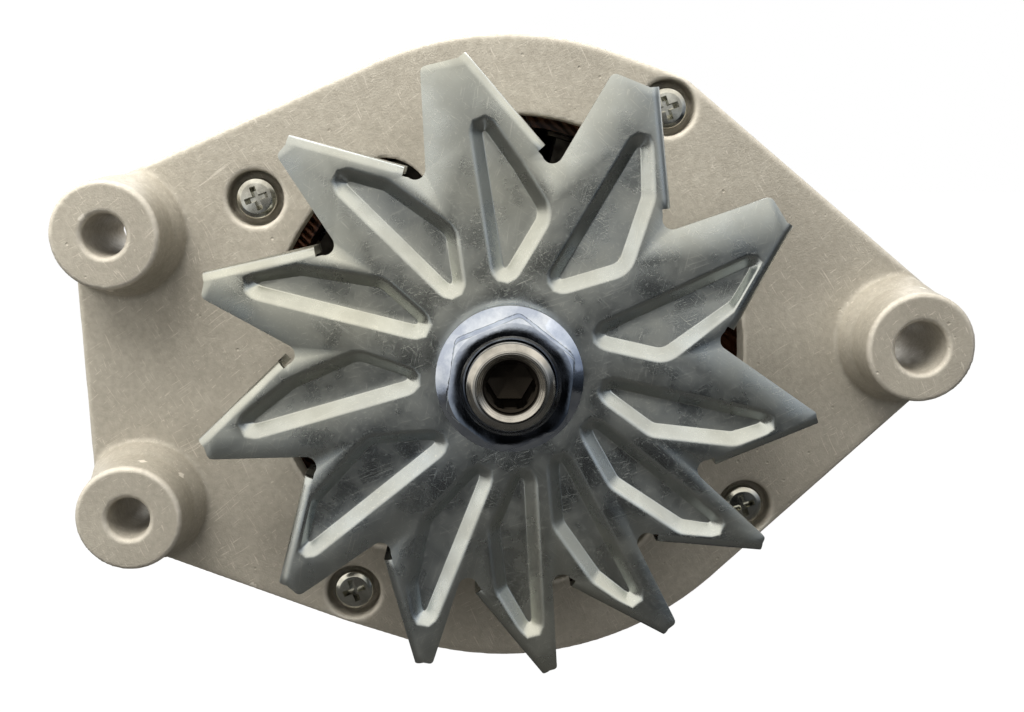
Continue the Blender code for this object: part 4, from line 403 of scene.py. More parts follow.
# %% Turned steel
def turned_steel(name, pale, dark, roughness, pitch, dark_radius=0.0):
    """The last argument is the radius, in metres, inside which the steel is made nearly black and rougher.
    """
    material, tree, shader, where = finish(name, pale, 1.0, roughness)
    film = cloud(tree, where, 5, 4.0)
    flat = add(tree, "ShaderNodeVectorMath", {"operation": "MULTIPLY"}, {0: where, 1: (1, 0, 1)})
    reach = add(tree, "ShaderNodeVectorMath", {"operation": "LENGTH"}, {0: flat.outputs[0]})
    # Inside that radius from the axis the colour is made nearly black and the steel rougher.
    dark_core = ramp(tree, reach.outputs["Value"], dark_radius, dark_radius + 0.0003, 1.0, 0.0) if dark_radius else 0.0
    tone = blend_colours(tree, film, pale, dark)
    tree.links.new(blend_colours(tree, dark_core, tone, "#2E2A25"), shader.inputs["Base Color"])
    shine = between(tree, film, roughness, roughness + 0.12)
    shine = calculate(tree, "ADD", shine, calculate(tree, "MULTIPLY", dark_core, 0.22))
    tree.links.new(shine, shader.inputs["Roughness"])
    rings = add(tree, "ShaderNodeTexWave", {"wave_type": "RINGS", "rings_direction": "Y"}, {
        "Vector": where, "Scale": WAVE / pitch, "Distortion": 0.4, "Detail": 1.0})
    tree.links.new(relief(tree, rings.outputs["Fac"], 0.008), shader.inputs["Normal"])
    return material


# On the shaft, 5 mm takes in the socket in its end and its thin rear end, which are darkened.
MATERIALS["ground_shaft_steel"] = turned_steel(
    "shaft_steel_turned_and_ground", "#BDBAB4", "#8E8B85", 0.16, 0.35, 0.0050)
MATERIALS["bearing_steel"] = turned_steel("bearing_steel_ground", "#C4C4C2", "#A9A9A8", 0.12, 0.30)

# %% [markdown]
# Iron, laminations and windings
#
# The claw poles are forged iron with a phosphate skin, nearly black and dry. The stator is a stack of
# half-millimetre steel sheets, so its outside is ribbed along the shaft, with a film of rust-brown
# varnish. The copper wire wears enamel and was dipped in varnish, which has gone dark brown. Strands and
# sheets are drawn at their real size, because the gaps between them catch enough shadow to show.

# %% Iron, laminations and copper
def forged_iron():
    material, tree, shader, where = finish("claw_pole_iron_forged_phosphated", "#4A4744", 0.6, 0.62)
    scale = cloud(tree, where, 3, 5.0)
    tree.links.new(blend_colours(tree, scale, "#54504B", "#33302D"), shader.inputs["Base Color"])
    tree.links.new(between(tree, scale, 0.55, 0.75), shader.inputs["Roughness"])
    tree.links.new(relief(tree, scale, 0.05), shader.inputs["Normal"])
    return material


def laminated_steel():
    material, tree, shader, where = finish("stator_laminations_varnished", "#6E655B", 0.7, 0.5)
    along = add(tree, "ShaderNodeTexWave", {"wave_type": "BANDS", "bands_direction": "Y"}, {
        "Vector": where, "Scale": WAVE / 1.0, "Distortion": 0.15, "Detail": 1.0})
    stain = cloud(tree, where, 12, 4.0)
    tone = blend_colours(tree, stain, "#7C746A", "#54473B")
    line = between(tree, along.outputs["Fac"], 0.55, 0.0)
    tree.links.new(blend_colours(tree, line, tone, "#2B2723"), shader.inputs["Base Color"])
    tree.links.new(between(tree, stain, 0.40, 0.60), shader.inputs["Roughness"])
    tree.links.new(relief(tree, along.outputs["Fac"], 0.06), shader.inputs["Normal"])
    return material


def enamelled_copper():
    material, tree, shader, where = finish("copper_wire_enamelled", "#4A2C1B", 0.6, 0.36)
    heat = cloud(tree, where, 9, 3.0)
    tree.links.new(blend_colours(tree, heat, "#553019", "#2C1A11"), shader.inputs["Base Color"])
    strands = add(tree, "ShaderNodeTexWave", {"wave_type": "BANDS", "bands_direction": "DIAGONAL"}, {
        "Vector": where, "Scale": WAVE / 1.1, "Distortion": 3.0, "Detail": 2.0, "Detail Scale": 0.6})
    tree.links.new(between(tree, heat, 0.22, 0.40), shader.inputs["Roughness"])
    tree.links.new(relief(tree, strands.outputs["Fac"], 0.25), shader.inputs["Normal"])
    shader.inputs["Coat Weight"].default_value = 0.4
    return material


MATERIALS["forged_pole_iron"] = forged_iron()
MATERIALS["laminated_steel"] = laminated_steel()
MATERIALS["enamelled_copper"] = enamelled_copper()

# %% [markdown]
# The other metals inside
#
# Retainer, heat sinks, slip rings, diode cans, terminals and springs are ordinary stock: cold-rolled
# sheet, extruded plate, drawn copper and plated brass. Each gets its own colour and one honest mark of
# its making, a direction of rolling or the smear of plating, so that none of them looks like paint.

# %% Stock metals
def stock_metal(name, pale, dark, roughness, grain, turn):
    """Rolled or drawn metal with its grain one way: grain is (length, width) in millimetres."""
    material, tree, shader, where = finish(name, pale, 1.0, roughness)
    smear = cloud(tree, where, 6, 4.0)
    lines = stretched(tree, where, turn, *grain)
    tree.links.new(blend_colours(tree, smear, pale, dark), shader.inputs["Base Color"])
    tree.links.new(between(tree, lines, roughness - 0.06, roughness + 0.16), shader.inputs["Roughness"])
    tree.links.new(relief(tree, lines, 0.012), shader.inputs["Normal"])
    return material


STOCK = {
    "steel_sheet": ("cold_rolled_steel_sheet", "#9B9A97", "#7A7875", 0.34, (12, 0.4), 10),
    "plate_aluminium": ("aluminium_plate_rolled", "#C3C5C6", "#A8AAAB", 0.36, (20, 0.5), 0),
    "copper_ring": ("slip_ring_copper_turned", "#C98A63", "#8E5636", 0.20, (30, 0.4), 90),
    "nickel_plated_can": ("diode_can_nickel_plated", "#C9C3B8", "#A49E92", 0.22, (8, 0.5), 0),
    "tin_plated_brass": ("terminal_brass_tin_plated", "#C9C9C4", "#A6A59F", 0.30, (6, 0.4), 0),
    "brass_stud": ("stud_brass_turned", "#C7A458", "#8F7238", 0.28, (10, 0.35), 90),
    "spring_steel": ("spring_wire_steel_drawn", "#8F9094", "#5F6064", 0.26, (4, 0.3), 0)}
for slot, facts in STOCK.items():
    MATERIALS[slot] = stock_metal(*facts)

# %% [markdown]
# Plastics and carbon
#
# Cover, brush holder and regulator are nylon with glass fibre, moulded in a spark-eroded tool. The tool
# leaves a fine even grain, and the fibre greys the black slightly. Its IOR of 1.53 is that of nylon. The
# insulator is red nylon, the terminal board natural nylon, which glows a little because light enters
# it. Brushes are pressed carbon with copper dust: matt, black, with a faint sparkle.

# %% Moulded plastics and brush carbon
def moulded_nylon(name, pale, dark, roughness, grain, scatter=0.0):
    material, tree, shader, where = finish(name, pale, 0.0, roughness)
    haze = cloud(tree, where, 11, 3.0)
    texture = add(tree, "ShaderNodeTexNoise", {},
                  {"Vector": where, "Scale": 1000 / grain, "Detail": 2.0}).outputs["Fac"]
    tree.links.new(blend_colours(tree, haze, pale, dark), shader.inputs["Base Color"])
    tree.links.new(between(tree, haze, roughness - 0.06, roughness + 0.10), shader.inputs["Roughness"])
    tree.links.new(relief(tree, texture, 0.03), shader.inputs["Normal"])
    shader.inputs["IOR"].default_value = 1.53
    shader.inputs["Subsurface Weight"].default_value = scatter
    shader.inputs["Subsurface Scale"].default_value = 0.002
    return material


def brush_carbon():
    material, tree, shader, where = finish("brush_carbon_pressed", "#2A2928", 0.2, 0.5)
    dust = cloud(tree, where, 0.5, 2.0, 0.62, 0.70)
    tree.links.new(blend_colours(tree, dust, "#2A2928", "#8A5A3C"), shader.inputs["Base Color"])
    tree.links.new(between(tree, dust, 0.55, 0.30), shader.inputs["Roughness"])
    return material


MATERIALS["black_plastic"] = moulded_nylon(
    "glass_filled_nylon_black_moulded", "#1D1D1E", "#2B2B2C", 0.46, 0.45)
MATERIALS["natural_nylon"] = moulded_nylon("nylon_natural_moulded", "#D8CFB9", "#C9BE9F", 0.40, 0.6, 0.15)
MATERIALS["red_nylon"] = moulded_nylon("nylon_red_moulded", "#9E2B22", "#7E1F19", 0.38, 0.5, 0.05)
MATERIALS["brush_carbon"] = brush_carbon()
print("materials:", len(MATERIALS))

# %% [markdown]
# Building round pieces
#
# Most of the machine was turned on a lathe, and a lathe is easy to copy: a profile of radius and height
# is swept round the shaft axis. Blender's Spin or Screw could do it, but writing the rows of vertices
# in code lets a row be round or six-sided, which makes a hexagon nut and a socket out of the same
# function. Heights run along the shaft towards the drive end, and each mesh is tipped at the end so
# that this direction points at the viewer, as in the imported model.

# %% Helpers that make meshes
TIP = Matrix.Rotation(radians(90), 4, "X")
NODE_SLOT = {entry["node"]: entry["material_slot"] for entry in frame["record"]["subparts"]}
print("nodes with a slot:", len(NODE_SLOT))


def polar(radius, angle):
    return Vector((radius * cos(radians(angle)), radius * sin(radians(angle))))


def softer(first, second, spread):
    """The smaller of two values, with the corner between them rounded over that spread."""
    return (first + second - sqrt((first - second) ** 2 + spread ** 2)) / 2


def hexagon(across_flats, flat_angle, ease=0.0):
    """Radius by angle of a hexagon; ease, in metres, rounds its corners."""
    def radius(angle):
        off = (angle - flat_angle + 30) % 60 - 30
        sharp = across_flats / 2 / cos(radians(off))
        corner = across_flats / 2 / cos(radians(30))
        return softer(sharp, corner - ease, ease) if ease else sharp

    return radius


def revolve(rows, steps=96, at=(0, 0)):
    """A closed body from rows of (radius, height), in order round the profile."""
    shape = bmesh.new()
    rings = []
    for radius, height in rows:
        if radius == 0:
            rings.append([shape.verts.new((at[0], at[1], height))])
            continue
        ring = []
        for index in range(steps):
            angle = 360 * index / steps
            reach = radius(angle) if callable(radius) else radius
            spot = polar(reach, angle)
            ring.append(shape.verts.new((at[0] + spot.x, at[1] + spot.y, height)))
        rings.append(ring)
    closed = len(rings[0]) > 1 or len(rings[-1]) > 1
    pairs = list(zip(rings, rings[1:])) + ([(rings[-1], rings[0])] if closed else [])
    for above, below in pairs:
        if len(above) == len(below) == 1:
            continue
        for index in range(steps):
            if len(above) == 1:
                shape.faces.new((above[0], below[index - 1], below[index]))
            elif len(below) == 1:
                shape.faces.new((above[index - 1], below[0], above[index]))
            else:
                shape.faces.new((above[index - 1], below[index - 1], below[index], above[index]))
    bmesh.ops.recalc_face_normals(shape, faces=shape.faces)
    return shape


def curved(start, corner, end, steps):
    """Points from start to end, bent towards the corner between them."""
    shares = [index / steps for index in range(steps + 1)]
    return [start * (1 - share) ** 2 + corner * 2 * share * (1 - share) + end * share ** 2
            for share in shares]


def eased(profile, radius, steps=3):
    """A profile whose inner corners are rounded, with its first and last points kept."""
    points = [Vector(point) for point in profile]
    rounded = [points[0]]
    for before, corner, after in zip(points, points[1:], points[2:]):
        back, forth = before - corner, after - corner
        turn = back.angle(forth)
        reach = min(radius / tan(turn / 2), back.length * 0.45, forth.length * 0.45) if turn < 3.1 else 0
        if reach < 1e-6:
            rounded.append(corner)
            continue
        rounded += curved(corner + back.normalized() * reach, corner,
                          corner + forth.normalized() * reach, steps)
    return [tuple(point) for point in rounded + [points[-1]]]


def solid(name, shape):
    """Puts a finished shape into the scene, tipped into the row frame."""
    mesh = bpy.data.meshes.new(name)
    shape.to_mesh(mesh)
    shape.free()
    mesh.transform(TIP)
    item = bpy.data.objects.new(name, mesh)
    scene.collection.objects.link(item)
    return item


def bake(item):
    """Turns an object's modifiers into its mesh."""
    graph = bpy.context.evaluated_depsgraph_get()
    mesh = bpy.data.meshes.new_from_object(item.evaluated_get(graph))
    item.modifiers.clear()
    old = item.data
    item.data = mesh
    bpy.data.meshes.remove(old)
    return item


def joined(item, tools, operation):
    """Cuts tools out of an item, or joins them to it, and removes them."""
    for tool in tools:
        step = item.modifiers.new("step", "BOOLEAN")
        step.operation = operation
        step.object = tool
    bake(item)
    for tool in tools:
        bpy.data.objects.remove(tool, do_unlink=True)
    return item


def dressed(item, node, look=None, angle=35):
    """Gives a piece its finish and its smooth faces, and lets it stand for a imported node."""
    item.data.materials.clear()
    item.data.materials.append(MATERIALS[look or NODE_SLOT[node]])
    item.data.shade_smooth()
    item.data.set_sharp_from_angle(angle=radians(angle))
    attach(item, frame["nodes"][node]["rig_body"])
    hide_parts(node)
    return item


def eased_copy(node, edge, angle=40):
    """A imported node's own shape with its edges rounded and its round faces smooth."""
    shape = bmesh.new()
    shape.from_mesh(frame["nodes"][node].data)
    bmesh.ops.remove_doubles(shape, verts=shape.verts, dist=1e-6)
    bmesh.ops.dissolve_limit(shape, angle_limit=radians(1), verts=shape.verts, edges=shape.edges)
    bmesh.ops.recalc_face_normals(shape, faces=shape.faces)
    if edge:
        sharp = [item for item in shape.edges if len(item.link_faces) == 2
                 and item.calc_face_angle() > radians(angle)]
        bmesh.ops.bevel(shape, geom=sharp, offset=edge, segments=2, profile=0.6, affect="EDGES",
                        clamp_overlap=True)
    mesh = bpy.data.meshes.new(node)
    shape.to_mesh(mesh)
    shape.free()
    item = bpy.data.objects.new(node + "_surface", mesh)
    scene.collection.objects.link(item)
    return dressed(item, node, angle=angle)


# %% [markdown]
# The star fan
#
# The real fan is one disc of sheet: a press cuts the star, sinks a field into each petal for stiffness,
# and bends one edge of every petal back to make a blade. Carving that from a solid would leave a
# machined look. Here the flat blank is filled with triangles between its cut edges and the rims of the
# fields. Each field goes down through rings: the wall starts softly, runs straight at 40 degrees and
# ends in a tight crease, as pressed metal does. Each blade is aimed at the middle of its slot and rolls
# over its bend in small steps. Solidify then gives the sheet its thickness. The petals are not evenly
# spaced, which keeps a real fan from whistling.

# %% Fan sizes
FAN_FACE = 0.0105
FAN_SHEET = 0.0015
SLOT_CIRCLE, SLOT_RADIUS, FIRST_SLOT = 0.0421, 0.00195, 114.4
PITCHES = [35.0] * 4 + [25.0] * 4 + [30.0] * 4
PLAIN_LAGS = (8.3, 7.8, 9.5, 16.3, 6.9, 5.5, 5.0, 3.9, 7.6, 8.7, 8.9, 8.2)
FLAP_LEADS = (18.4, 18.6, 18.5, 16.5, 15.4, 16.1, 17.1, 17.9, 18.0, 17.4, 16.8, 17.8)
FIELD_CORNERS = (
    ((0.776, 17.0), (0.326, 13.4), (0.516, 0.4), (0.643, 10.0)),
    ((0.826, 16.6), (0.334, 18.8), (0.492, 1.8), (0.691, 9.6)),
    ((0.835, 15.2), (0.316, 14.5), (0.491, 0.5), (0.735, 9.4)),
    ((0.831, 15.0), (0.304, 18.4), (0.487, 7.0), (0.735, 11.1)),
    ((0.826, 14.2), (0.297, 18.8), (0.484, 7.2), (0.735, 10.5)),
    ((0.840, 14.5), (0.307, 16.8), (0.509, 6.2), (0.710, 10.3)),
    ((0.840, 15.8), (0.319, 19.0), (0.499, 7.6), (0.693, 10.3)),
    ((0.840, 16.6), (0.312, 20.5), (0.543, 8.5), (0.738, 12.6)),
    ((0.851, 16.2), (0.307, 18.9), (0.487, 3.0), (0.743, 10.2)),
    ((0.840, 16.8), (0.307, 8.0), (0.474, 0.3), (0.676, 9.4)),
    ((0.848, 15.8), (0.311, 5.9), (0.486, 1.5), (0.718, 10.0)),
    ((0.793, 15.8), (0.327, 8.1), (0.482, 0.0), (0.693, 9.8)))
FIELD_DEPTH, FIELD_WALL, BEND_GAP = 0.0019, 0.0028, 0.0002
PLAIN_TIP, FLAP_TIP = 0.0588, 0.0599
BEND_RADIUS, BLADE_STEP = 0.0018, 0.0012
BLADE_AT_TIP, BLADE_AT_SLOT = 0.0045, 0.0125
BLADE_COLUMNS = 12
petal_angles = []
slot_angle = FIRST_SLOT
for pitch, lag, lead in zip(PITCHES, PLAIN_LAGS, FLAP_LEADS):
    petal_angles.append((slot_angle, slot_angle - pitch, slot_angle - lag, slot_angle - pitch + lead))
    slot_angle -= pitch
print("petals:", len(petal_angles), "spread over", sum(PITCHES), "degrees")


# %% Outlines of the blank and of the sunk fields
def rounded(loop, radii, steps=6):
    """A closed outline with each corner rounded by its own radius."""
    result = []
    count = len(loop)
    for index, corner in enumerate(map(Vector, loop)):
        back = Vector(loop[index - 1]) - corner
        forth = Vector(loop[(index + 1) % count]) - corner
        reach = min(radii[index] / tan(back.angle(forth) / 2), back.length * 0.46, forth.length * 0.46)
        result += curved(corner + back.normalized() * reach, corner,
                         corner + forth.normalized() * reach, steps)
    return result


def spread_out(loop, distance):
    """A closed outline moved outward, or inward where the distance is negative."""
    moved = []
    for index, point in enumerate(loop):
        before = (point - loop[index - 1]).normalized()
        after = (loop[(index + 1) % len(loop)] - point).normalized()
        normal = Vector((before.y + after.y, -before.x - after.x)).normalized()
        moved.append(point + normal * distance / max(0.8, normal.dot(Vector((after.y, -after.x)))))
    return moved


def touching(slot, corner):
    """The direction, from a slot's centre, in which the plain edge from a corner meets it."""
    span = corner - polar(SLOT_CIRCLE, slot)
    return degrees(atan2(span.y, span.x) - acos(SLOT_RADIUS / span.length))


def bend_line(next_slot, flap_tip):
    """Where a blade, aimed at its slot's centre, starts to bend: tip end, slot end, foot and side."""
    corner, centre = polar(FLAP_TIP, flap_tip), polar(SLOT_CIRCLE, next_slot)
    along = (corner - centre).normalized()
    side = Vector((along.y, -along.x))
    foot = centre + along * sqrt(SLOT_RADIUS ** 2 - BEND_RADIUS ** 2) - side * BEND_RADIUS
    return corner - side * BEND_RADIUS, foot + along * BLADE_STEP, foot, side


def blank_outline():
    outline = []
    for index in reversed(range(len(petal_angles))):
        slot, next_slot, plain_tip, flap_tip = petal_angles[index]
        tip_end, slot_end, _, _ = bend_line(next_slot, flap_tip)
        corner = polar(PLAIN_TIP, plain_tip)
        start = touching(slot, corner)
        foot = bend_line(slot, petal_angles[index - 1][3])[2] - polar(SLOT_CIRCLE, slot)
        stop = degrees(atan2(foot.y, foot.x))
        while stop > start:
            stop -= 360
        while stop < start - 360:
            stop += 360
        outline += [slot_end.lerp(tip_end, share / BLADE_COLUMNS) for share in range(BLADE_COLUMNS + 1)]
        leave = polar(SLOT_CIRCLE, slot) + polar(SLOT_RADIUS, start)
        outline += rounded([tip_end, corner, leave], [0, 0.0013, 0], 5)[6:12]
        turns = ceil((start - stop) / 14)
        outline += [polar(SLOT_CIRCLE, slot) + polar(SLOT_RADIUS, start + (stop - start) * turn / turns)
                    for turn in range(turns + 1)]
    return outline


def field_floor(next_slot, corners):
    """The crease round a sunk field: tip, hub, waist and shoulder, measured from the next slot."""
    points = [polar(share * FLAP_TIP, next_slot + lead) for share, lead in corners]
    return rounded(points, [0.0005, 0.0006, 0.0030, 0.0030], 7)


def field_lip(floor, next_slot, flap_tip):
    """The soft upper end of a field's wall, held back from the bend of the blade."""
    _, slot_end, _, side = bend_line(next_slot, flap_tip)
    return [point - side * max(0, (point - slot_end).dot(side) + BEND_GAP)
            for point in spread_out(floor, FIELD_WALL)]


def wall_drop(share):
    """How far the wall has sunk: a soft start, a straight slope and a tight corner at the floor."""
    soft, tight = 0.38, 0.08
    slope = 1 / (1 - soft / 2 - tight / 2)
    if share < soft:
        return slope * share ** 2 / (2 * soft)
    if share < 1 - tight:
        return slope * (share - soft / 2)
    return 1 - slope * (1 - share) ** 2 / (2 * tight)


# %% Press the sheet and bend the blades
def filled(shape, loops, height):
    """Fills an outline round its holes with triangles, and returns the vertices of each loop."""
    points, areas = [], []
    for loop in loops:
        areas.append(list(range(len(points), len(points) + len(loop))))
        points += [Vector(point) for point in loop]
    corners, _, triangles, origins, _, owners = delaunay_2d_cdt(points, [], areas, 1, 1e-7)
    verts = [shape.verts.new((x, y, height)) for x, y in corners]
    home = {source: vert for vert, sources in zip(verts, origins) for source in sources}
    for triangle, owner in zip(triangles, owners):
        if list(owner) == [0]:
            shape.faces.new([verts[index] for index in triangle])
    return [[home[index] for index in area] for area in areas]


def star_fan():
    shape = bmesh.new()
    floors = [field_floor(angles[1], corners) for angles, corners in zip(petal_angles, FIELD_CORNERS)]
    lips = [field_lip(floor, angles[1], angles[3]) for floor, angles in zip(floors, petal_angles)]
    bore = [polar(0.0083, 5 * index) for index in range(72)]
    outline = blank_outline()
    loops = filled(shape, [outline, bore, *lips], FAN_FACE)
    for floor, lip, rim in zip(floors, lips, loops[2:]):
        for share in (0.07, 0.14, 0.21, 0.29, 0.38, 0.92, 0.95, 0.98, 1.0):
            ring = [shape.verts.new((*high.lerp(low, share), FAN_FACE - FIELD_DEPTH * wall_drop(share)))
                    for high, low in zip(lip, floor)]
            for spot in range(len(ring)):
                shape.faces.new((rim[spot - 1], rim[spot], ring[spot], ring[spot - 1]))
            rim = ring
        shape.faces.new(rim)
    edge = {tuple(round(value, 7) for value in point): vert for point, vert in zip(outline, loops[0])}
    for _, next_slot, _, flap_tip in petal_angles:
        tip_end, slot_end, _, side = bend_line(next_slot, flap_tip)
        row = [edge[tuple(round(value, 7) for value in slot_end.lerp(tip_end, share / BLADE_COLUMNS))]
               for share in range(BLADE_COLUMNS + 1)]
        line = [Vector(vert.co.xy) for vert in row]
        for bend in range(10, 100, 10):
            out, drop = BEND_RADIUS * sin(radians(bend)), BEND_RADIUS * (1 - cos(radians(bend)))
            fresh = [shape.verts.new((*(point + side * out), FAN_FACE - drop)) for point in line]
            row = add_row(shape, row, fresh)
        for part in (0.3, 0.6, 0.8, 0.92, 0.98, 1.0):
            pull = 0.0018 * (1 - sqrt(1 - max(0.0, (part - 0.8) / 0.2) ** 2))
            fresh = []
            for index in range(BLADE_COLUMNS + 1):
                share = index / BLADE_COLUMNS
                share += pull * (1 - 2 * share) / (line[-1] - line[0]).length
                reach = BLADE_AT_SLOT + (BLADE_AT_TIP - BLADE_AT_SLOT) * share
                drop = BEND_RADIUS + (reach - BEND_RADIUS) * part
                spot = line[0].lerp(line[-1], share) + side * BEND_RADIUS
                fresh.append(shape.verts.new((*spot, FAN_FACE - drop)))
            row = add_row(shape, row, fresh)
    return shape


def add_row(shape, row, fresh):
    """Joins two rows of vertices with faces and returns the new one."""
    for left in range(len(row) - 1):
        shape.faces.new((row[left + 1], row[left], fresh[left], fresh[left + 1]))
    return fresh


fan = solid("cooling_fan_pressed", star_fan())
thick = fan.modifiers.new("sheet", "SOLIDIFY")
thick.thickness = FAN_SHEET
thick.offset = -1.0
soft = fan.modifiers.new("sheared_edges", "BEVEL")
soft.limit_method = "ANGLE"
soft.angle_limit = radians(60)
soft.width = 0.00018
soft.segments = 2
bake(fan)
dressed(fan, "cooling_fan", angle=50)
print("fan faces:", len(fan.data.polygons))

# %% [markdown]
# Nut and shaft end
#
# The flange nut is forged, then turned on its face, so a cone cuts its six corners in arcs. With one
# radius function per row this needs no cutting at all: each row takes the smaller of the hexagon and
# the cone. The shaft's end is turned, counterbored and broached with an 8 mm hexagon, which holds the
# shaft still while the nut is tightened.

# %% Flange nut
NUT_SEAT, NUT_TOP = 0.0108, 0.0208
wrench_size = hexagon(0.022, 82.3 + 30, 0.00025)


def cut_corners(limit):
    """Radius by angle of the hexagon where a cone of that radius has cut its corners."""
    return lambda angle: softer(wrench_size(angle), limit, 0.0002)


def grown_foot(floor):
    """Radius by angle where the hexagon flows out into the flange."""
    return lambda angle: -softer(-wrench_size(angle), -floor, 0.0003)


nut_rows = [(0.0088, NUT_TOP - 0.0003), (0.0091, NUT_TOP), (0.0092, NUT_TOP),
            (lambda angle: cut_corners(0.0115)(angle) - 0.0001, NUT_TOP)]
for step in range(12):
    deep = 0.0009 * step / 11
    nut_rows.append((cut_corners(0.0115 + deep * 1.73), NUT_TOP - 0.00003 - deep))
rim = NUT_SEAT + 0.0031
nut_rows.append((wrench_size, rim + 0.0014))
for step in range(9):
    lift = 0.0012 * (1 - step / 8)
    nut_rows.append((grown_foot(0.0137 - lift * 2.4), rim + lift))
nut_rows += [(0.0137, rim - 0.0003), (0.0137, NUT_SEAT + 0.0004), (0.0134, NUT_SEAT), (0.0083, NUT_SEAT),
             (0.0083, NUT_TOP - 0.0007)]
nut = solid("flange_nut_forged", revolve(nut_rows, 180))
dressed(nut, "flange_nut", angle=24)
print("nut faces:", len(nut.data.polygons))

# %% Shaft
TIP_HEIGHT = 0.0232
key_size = hexagon(0.008, 90.0)
shaft_rows = [
    (0, TIP_HEIGHT - 0.0120), (lambda angle: key_size(angle) * 0.97, TIP_HEIGHT - 0.0110),
    (key_size, TIP_HEIGHT - 0.0108), (key_size, TIP_HEIGHT - 0.0031),
    (lambda angle: max(key_size(angle), 0.00445), TIP_HEIGHT - 0.0027), (0.00485, TIP_HEIGHT - 0.0025),
    (0.0049, TIP_HEIGHT - 0.0024), (0.0049, TIP_HEIGHT - 0.0012), (0.0050, TIP_HEIGHT - 0.0011),
    (0.0060, TIP_HEIGHT - 0.0001), (0.0061, TIP_HEIGHT), (0.0068, TIP_HEIGHT),
    (0.0070, TIP_HEIGHT - 0.0001), (0.0079, TIP_HEIGHT - 0.0009), (0.0080, TIP_HEIGHT - 0.0011)]
for thread in range(8):
    crest = TIP_HEIGHT - 0.0013 - 0.0015 * thread
    shaft_rows += [(0.0080, crest), (0.0080, crest - 0.0002),
                   (0.0073, crest - 0.0008), (0.0073, crest - 0.0009)]
shaft_rows += [
    (0.0080, 0.0097), (0.0080, 0.0084), (0.0085, 0.0084), (0.0085, -0.0269), (0.0099, -0.0269),
    (0.0100, -0.0270), (0.0100, -0.0841), (0.0099, -0.0842), (0.0075, -0.0842), (0.0075, -0.0957),
    (0.0074, -0.0958), (0.0045, -0.0958), (0.0045, -0.1188), (0.0041, -0.1192), (0, -0.1192)]
shaft = solid("rotor_shaft_turned", revolve(shaft_rows, 96))
dressed(shaft, "rotor_shaft", angle=30)
print("shaft faces:", len(shaft.data.polygons))

# %% [markdown]
# Through bolts
#
# Four long screws hold the two brackets and the stator together. Their heads are low cylinders with an
# eased edge and a cross recess, which a tapered punch pressed in: the recess is narrower at its bottom.

# %% Through bolts
BOLT_CIRCLE, FIRST_BOLT = 0.0601, 147.5
BOLT_SPOTS = [polar(BOLT_CIRCLE, FIRST_BOLT - 90 * index) for index in range(4)]


def punch(at, top, turn):
    """One blade of the cross, tapered towards its end."""
    shape = bmesh.new()
    half, deep = (0.0024, 0.00058), 0.0018
    rows = []
    for height, shrink in ((top + 0.0005, 1.15), (top - deep, 0.62)):
        rows.append([shape.verts.new((x * half[0] * shrink, y * half[1] * shrink, height))
                     for x, y in ((1, 1), (-1, 1), (-1, -1), (1, -1))])
    for index in range(4):
        shape.faces.new((rows[0][index - 1], rows[0][index], rows[1][index], rows[1][index - 1]))
    shape.faces.new(rows[0])
    shape.faces.new(rows[1])
    bmesh.ops.transform(shape, matrix=Matrix.Translation((at.x, at.y, 0)) @ Matrix.Rotation(turn, 4, "Z"),
                        verts=shape.verts)
    bmesh.ops.recalc_face_normals(shape, faces=shape.faces)
    return solid("punch", shape)


for number, spot in enumerate(BOLT_SPOTS, 1):
    top = -0.0136
    head = eased([(0, top), (0.0031, top - 0.0001), (0.00415, top - 0.0005), (0.00415, -0.0172),
                  (0.0025, -0.0172)], 0.0005, 4)
    rows = head + [(0.0025, -0.0921), (0.0021, -0.0927), (0, -0.0927)]
    bolt = solid(f"through_bolt_{number}_headed", revolve(rows, 48, spot))
    joined(bolt, [punch(spot, top, radians(20)), punch(spot, top, radians(110))], "DIFFERENCE")
    dressed(bolt, f"through_bolt_{number}", angle=40)
print("through bolts:", len(BOLT_SPOTS))

# %% [markdown]
# The drive-end bracket
#
# A casting has no sharp edge anywhere: metal flows round a corner of the die, and blasting wears it
# further. Bevels fail on a body with this many crossing parts. So the bracket is built the way a
# pattern maker would, from turned and cut parts, then remade out of half-millimetre cells and smoothed,
# which rounds every edge and fillet alike. Its plate is the shape of a belt pulled round the machine,
# the bolt bosses and the three lugs. The vents have the well rounded corners of the real casting, where
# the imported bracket's are nearly square.

# %% Bracket sizes and helpers
PLATE_RADIUS, PLATE_FACE, PLATE_FOOT = 0.0652, -0.0128, -0.0208
SHELL_RADIUS, SHELL_INSIDE, FRONT_RIM = 0.0646, 0.0560, -0.0401
VENT_INNER, VENT_OUTER, VENT_PITCH, FIRST_SPOKE, SPOKE_WIDTH = 0.035, 0.0494, 72, 36, 13
VENT_INNER_CORNER, VENT_OUTER_CORNER = 0.003, 0.010
# Each ear has its centre, its radius, the radius of its bore and that of the lug behind it.
EARS = ((Vector((-0.0775, 0.0255)), 0.01055, 0.0042, 0.0102),
        (Vector((-0.0754, -0.0306)), 0.01055, 0.0042, 0.0102),
        (Vector((0.0820, 0.0038)), 0.0109, 0.0052, 0.0119))
print("ears:", len(EARS))


def belt(circles):
    """The outline of a belt pulled tight round circles of (centre, radius)."""
    points = sorted({(centre.x + polar(radius, 3 * turn).x, centre.y + polar(radius, 3 * turn).y)
                     for centre, radius in circles for turn in range(120)})

    def half(ordered):
        chain = []
        for point in ordered:
            while len(chain) > 1:
                (ax, ay), (bx, by) = chain[-2], chain[-1]
                if (bx - ax) * (point[1] - ay) - (by - ay) * (point[0] - ax) > 1e-12:
                    break
                chain.pop()
            chain.append(point)
        return chain[:-1]

    return [Vector(point) for point in half(points) + half(reversed(points))]


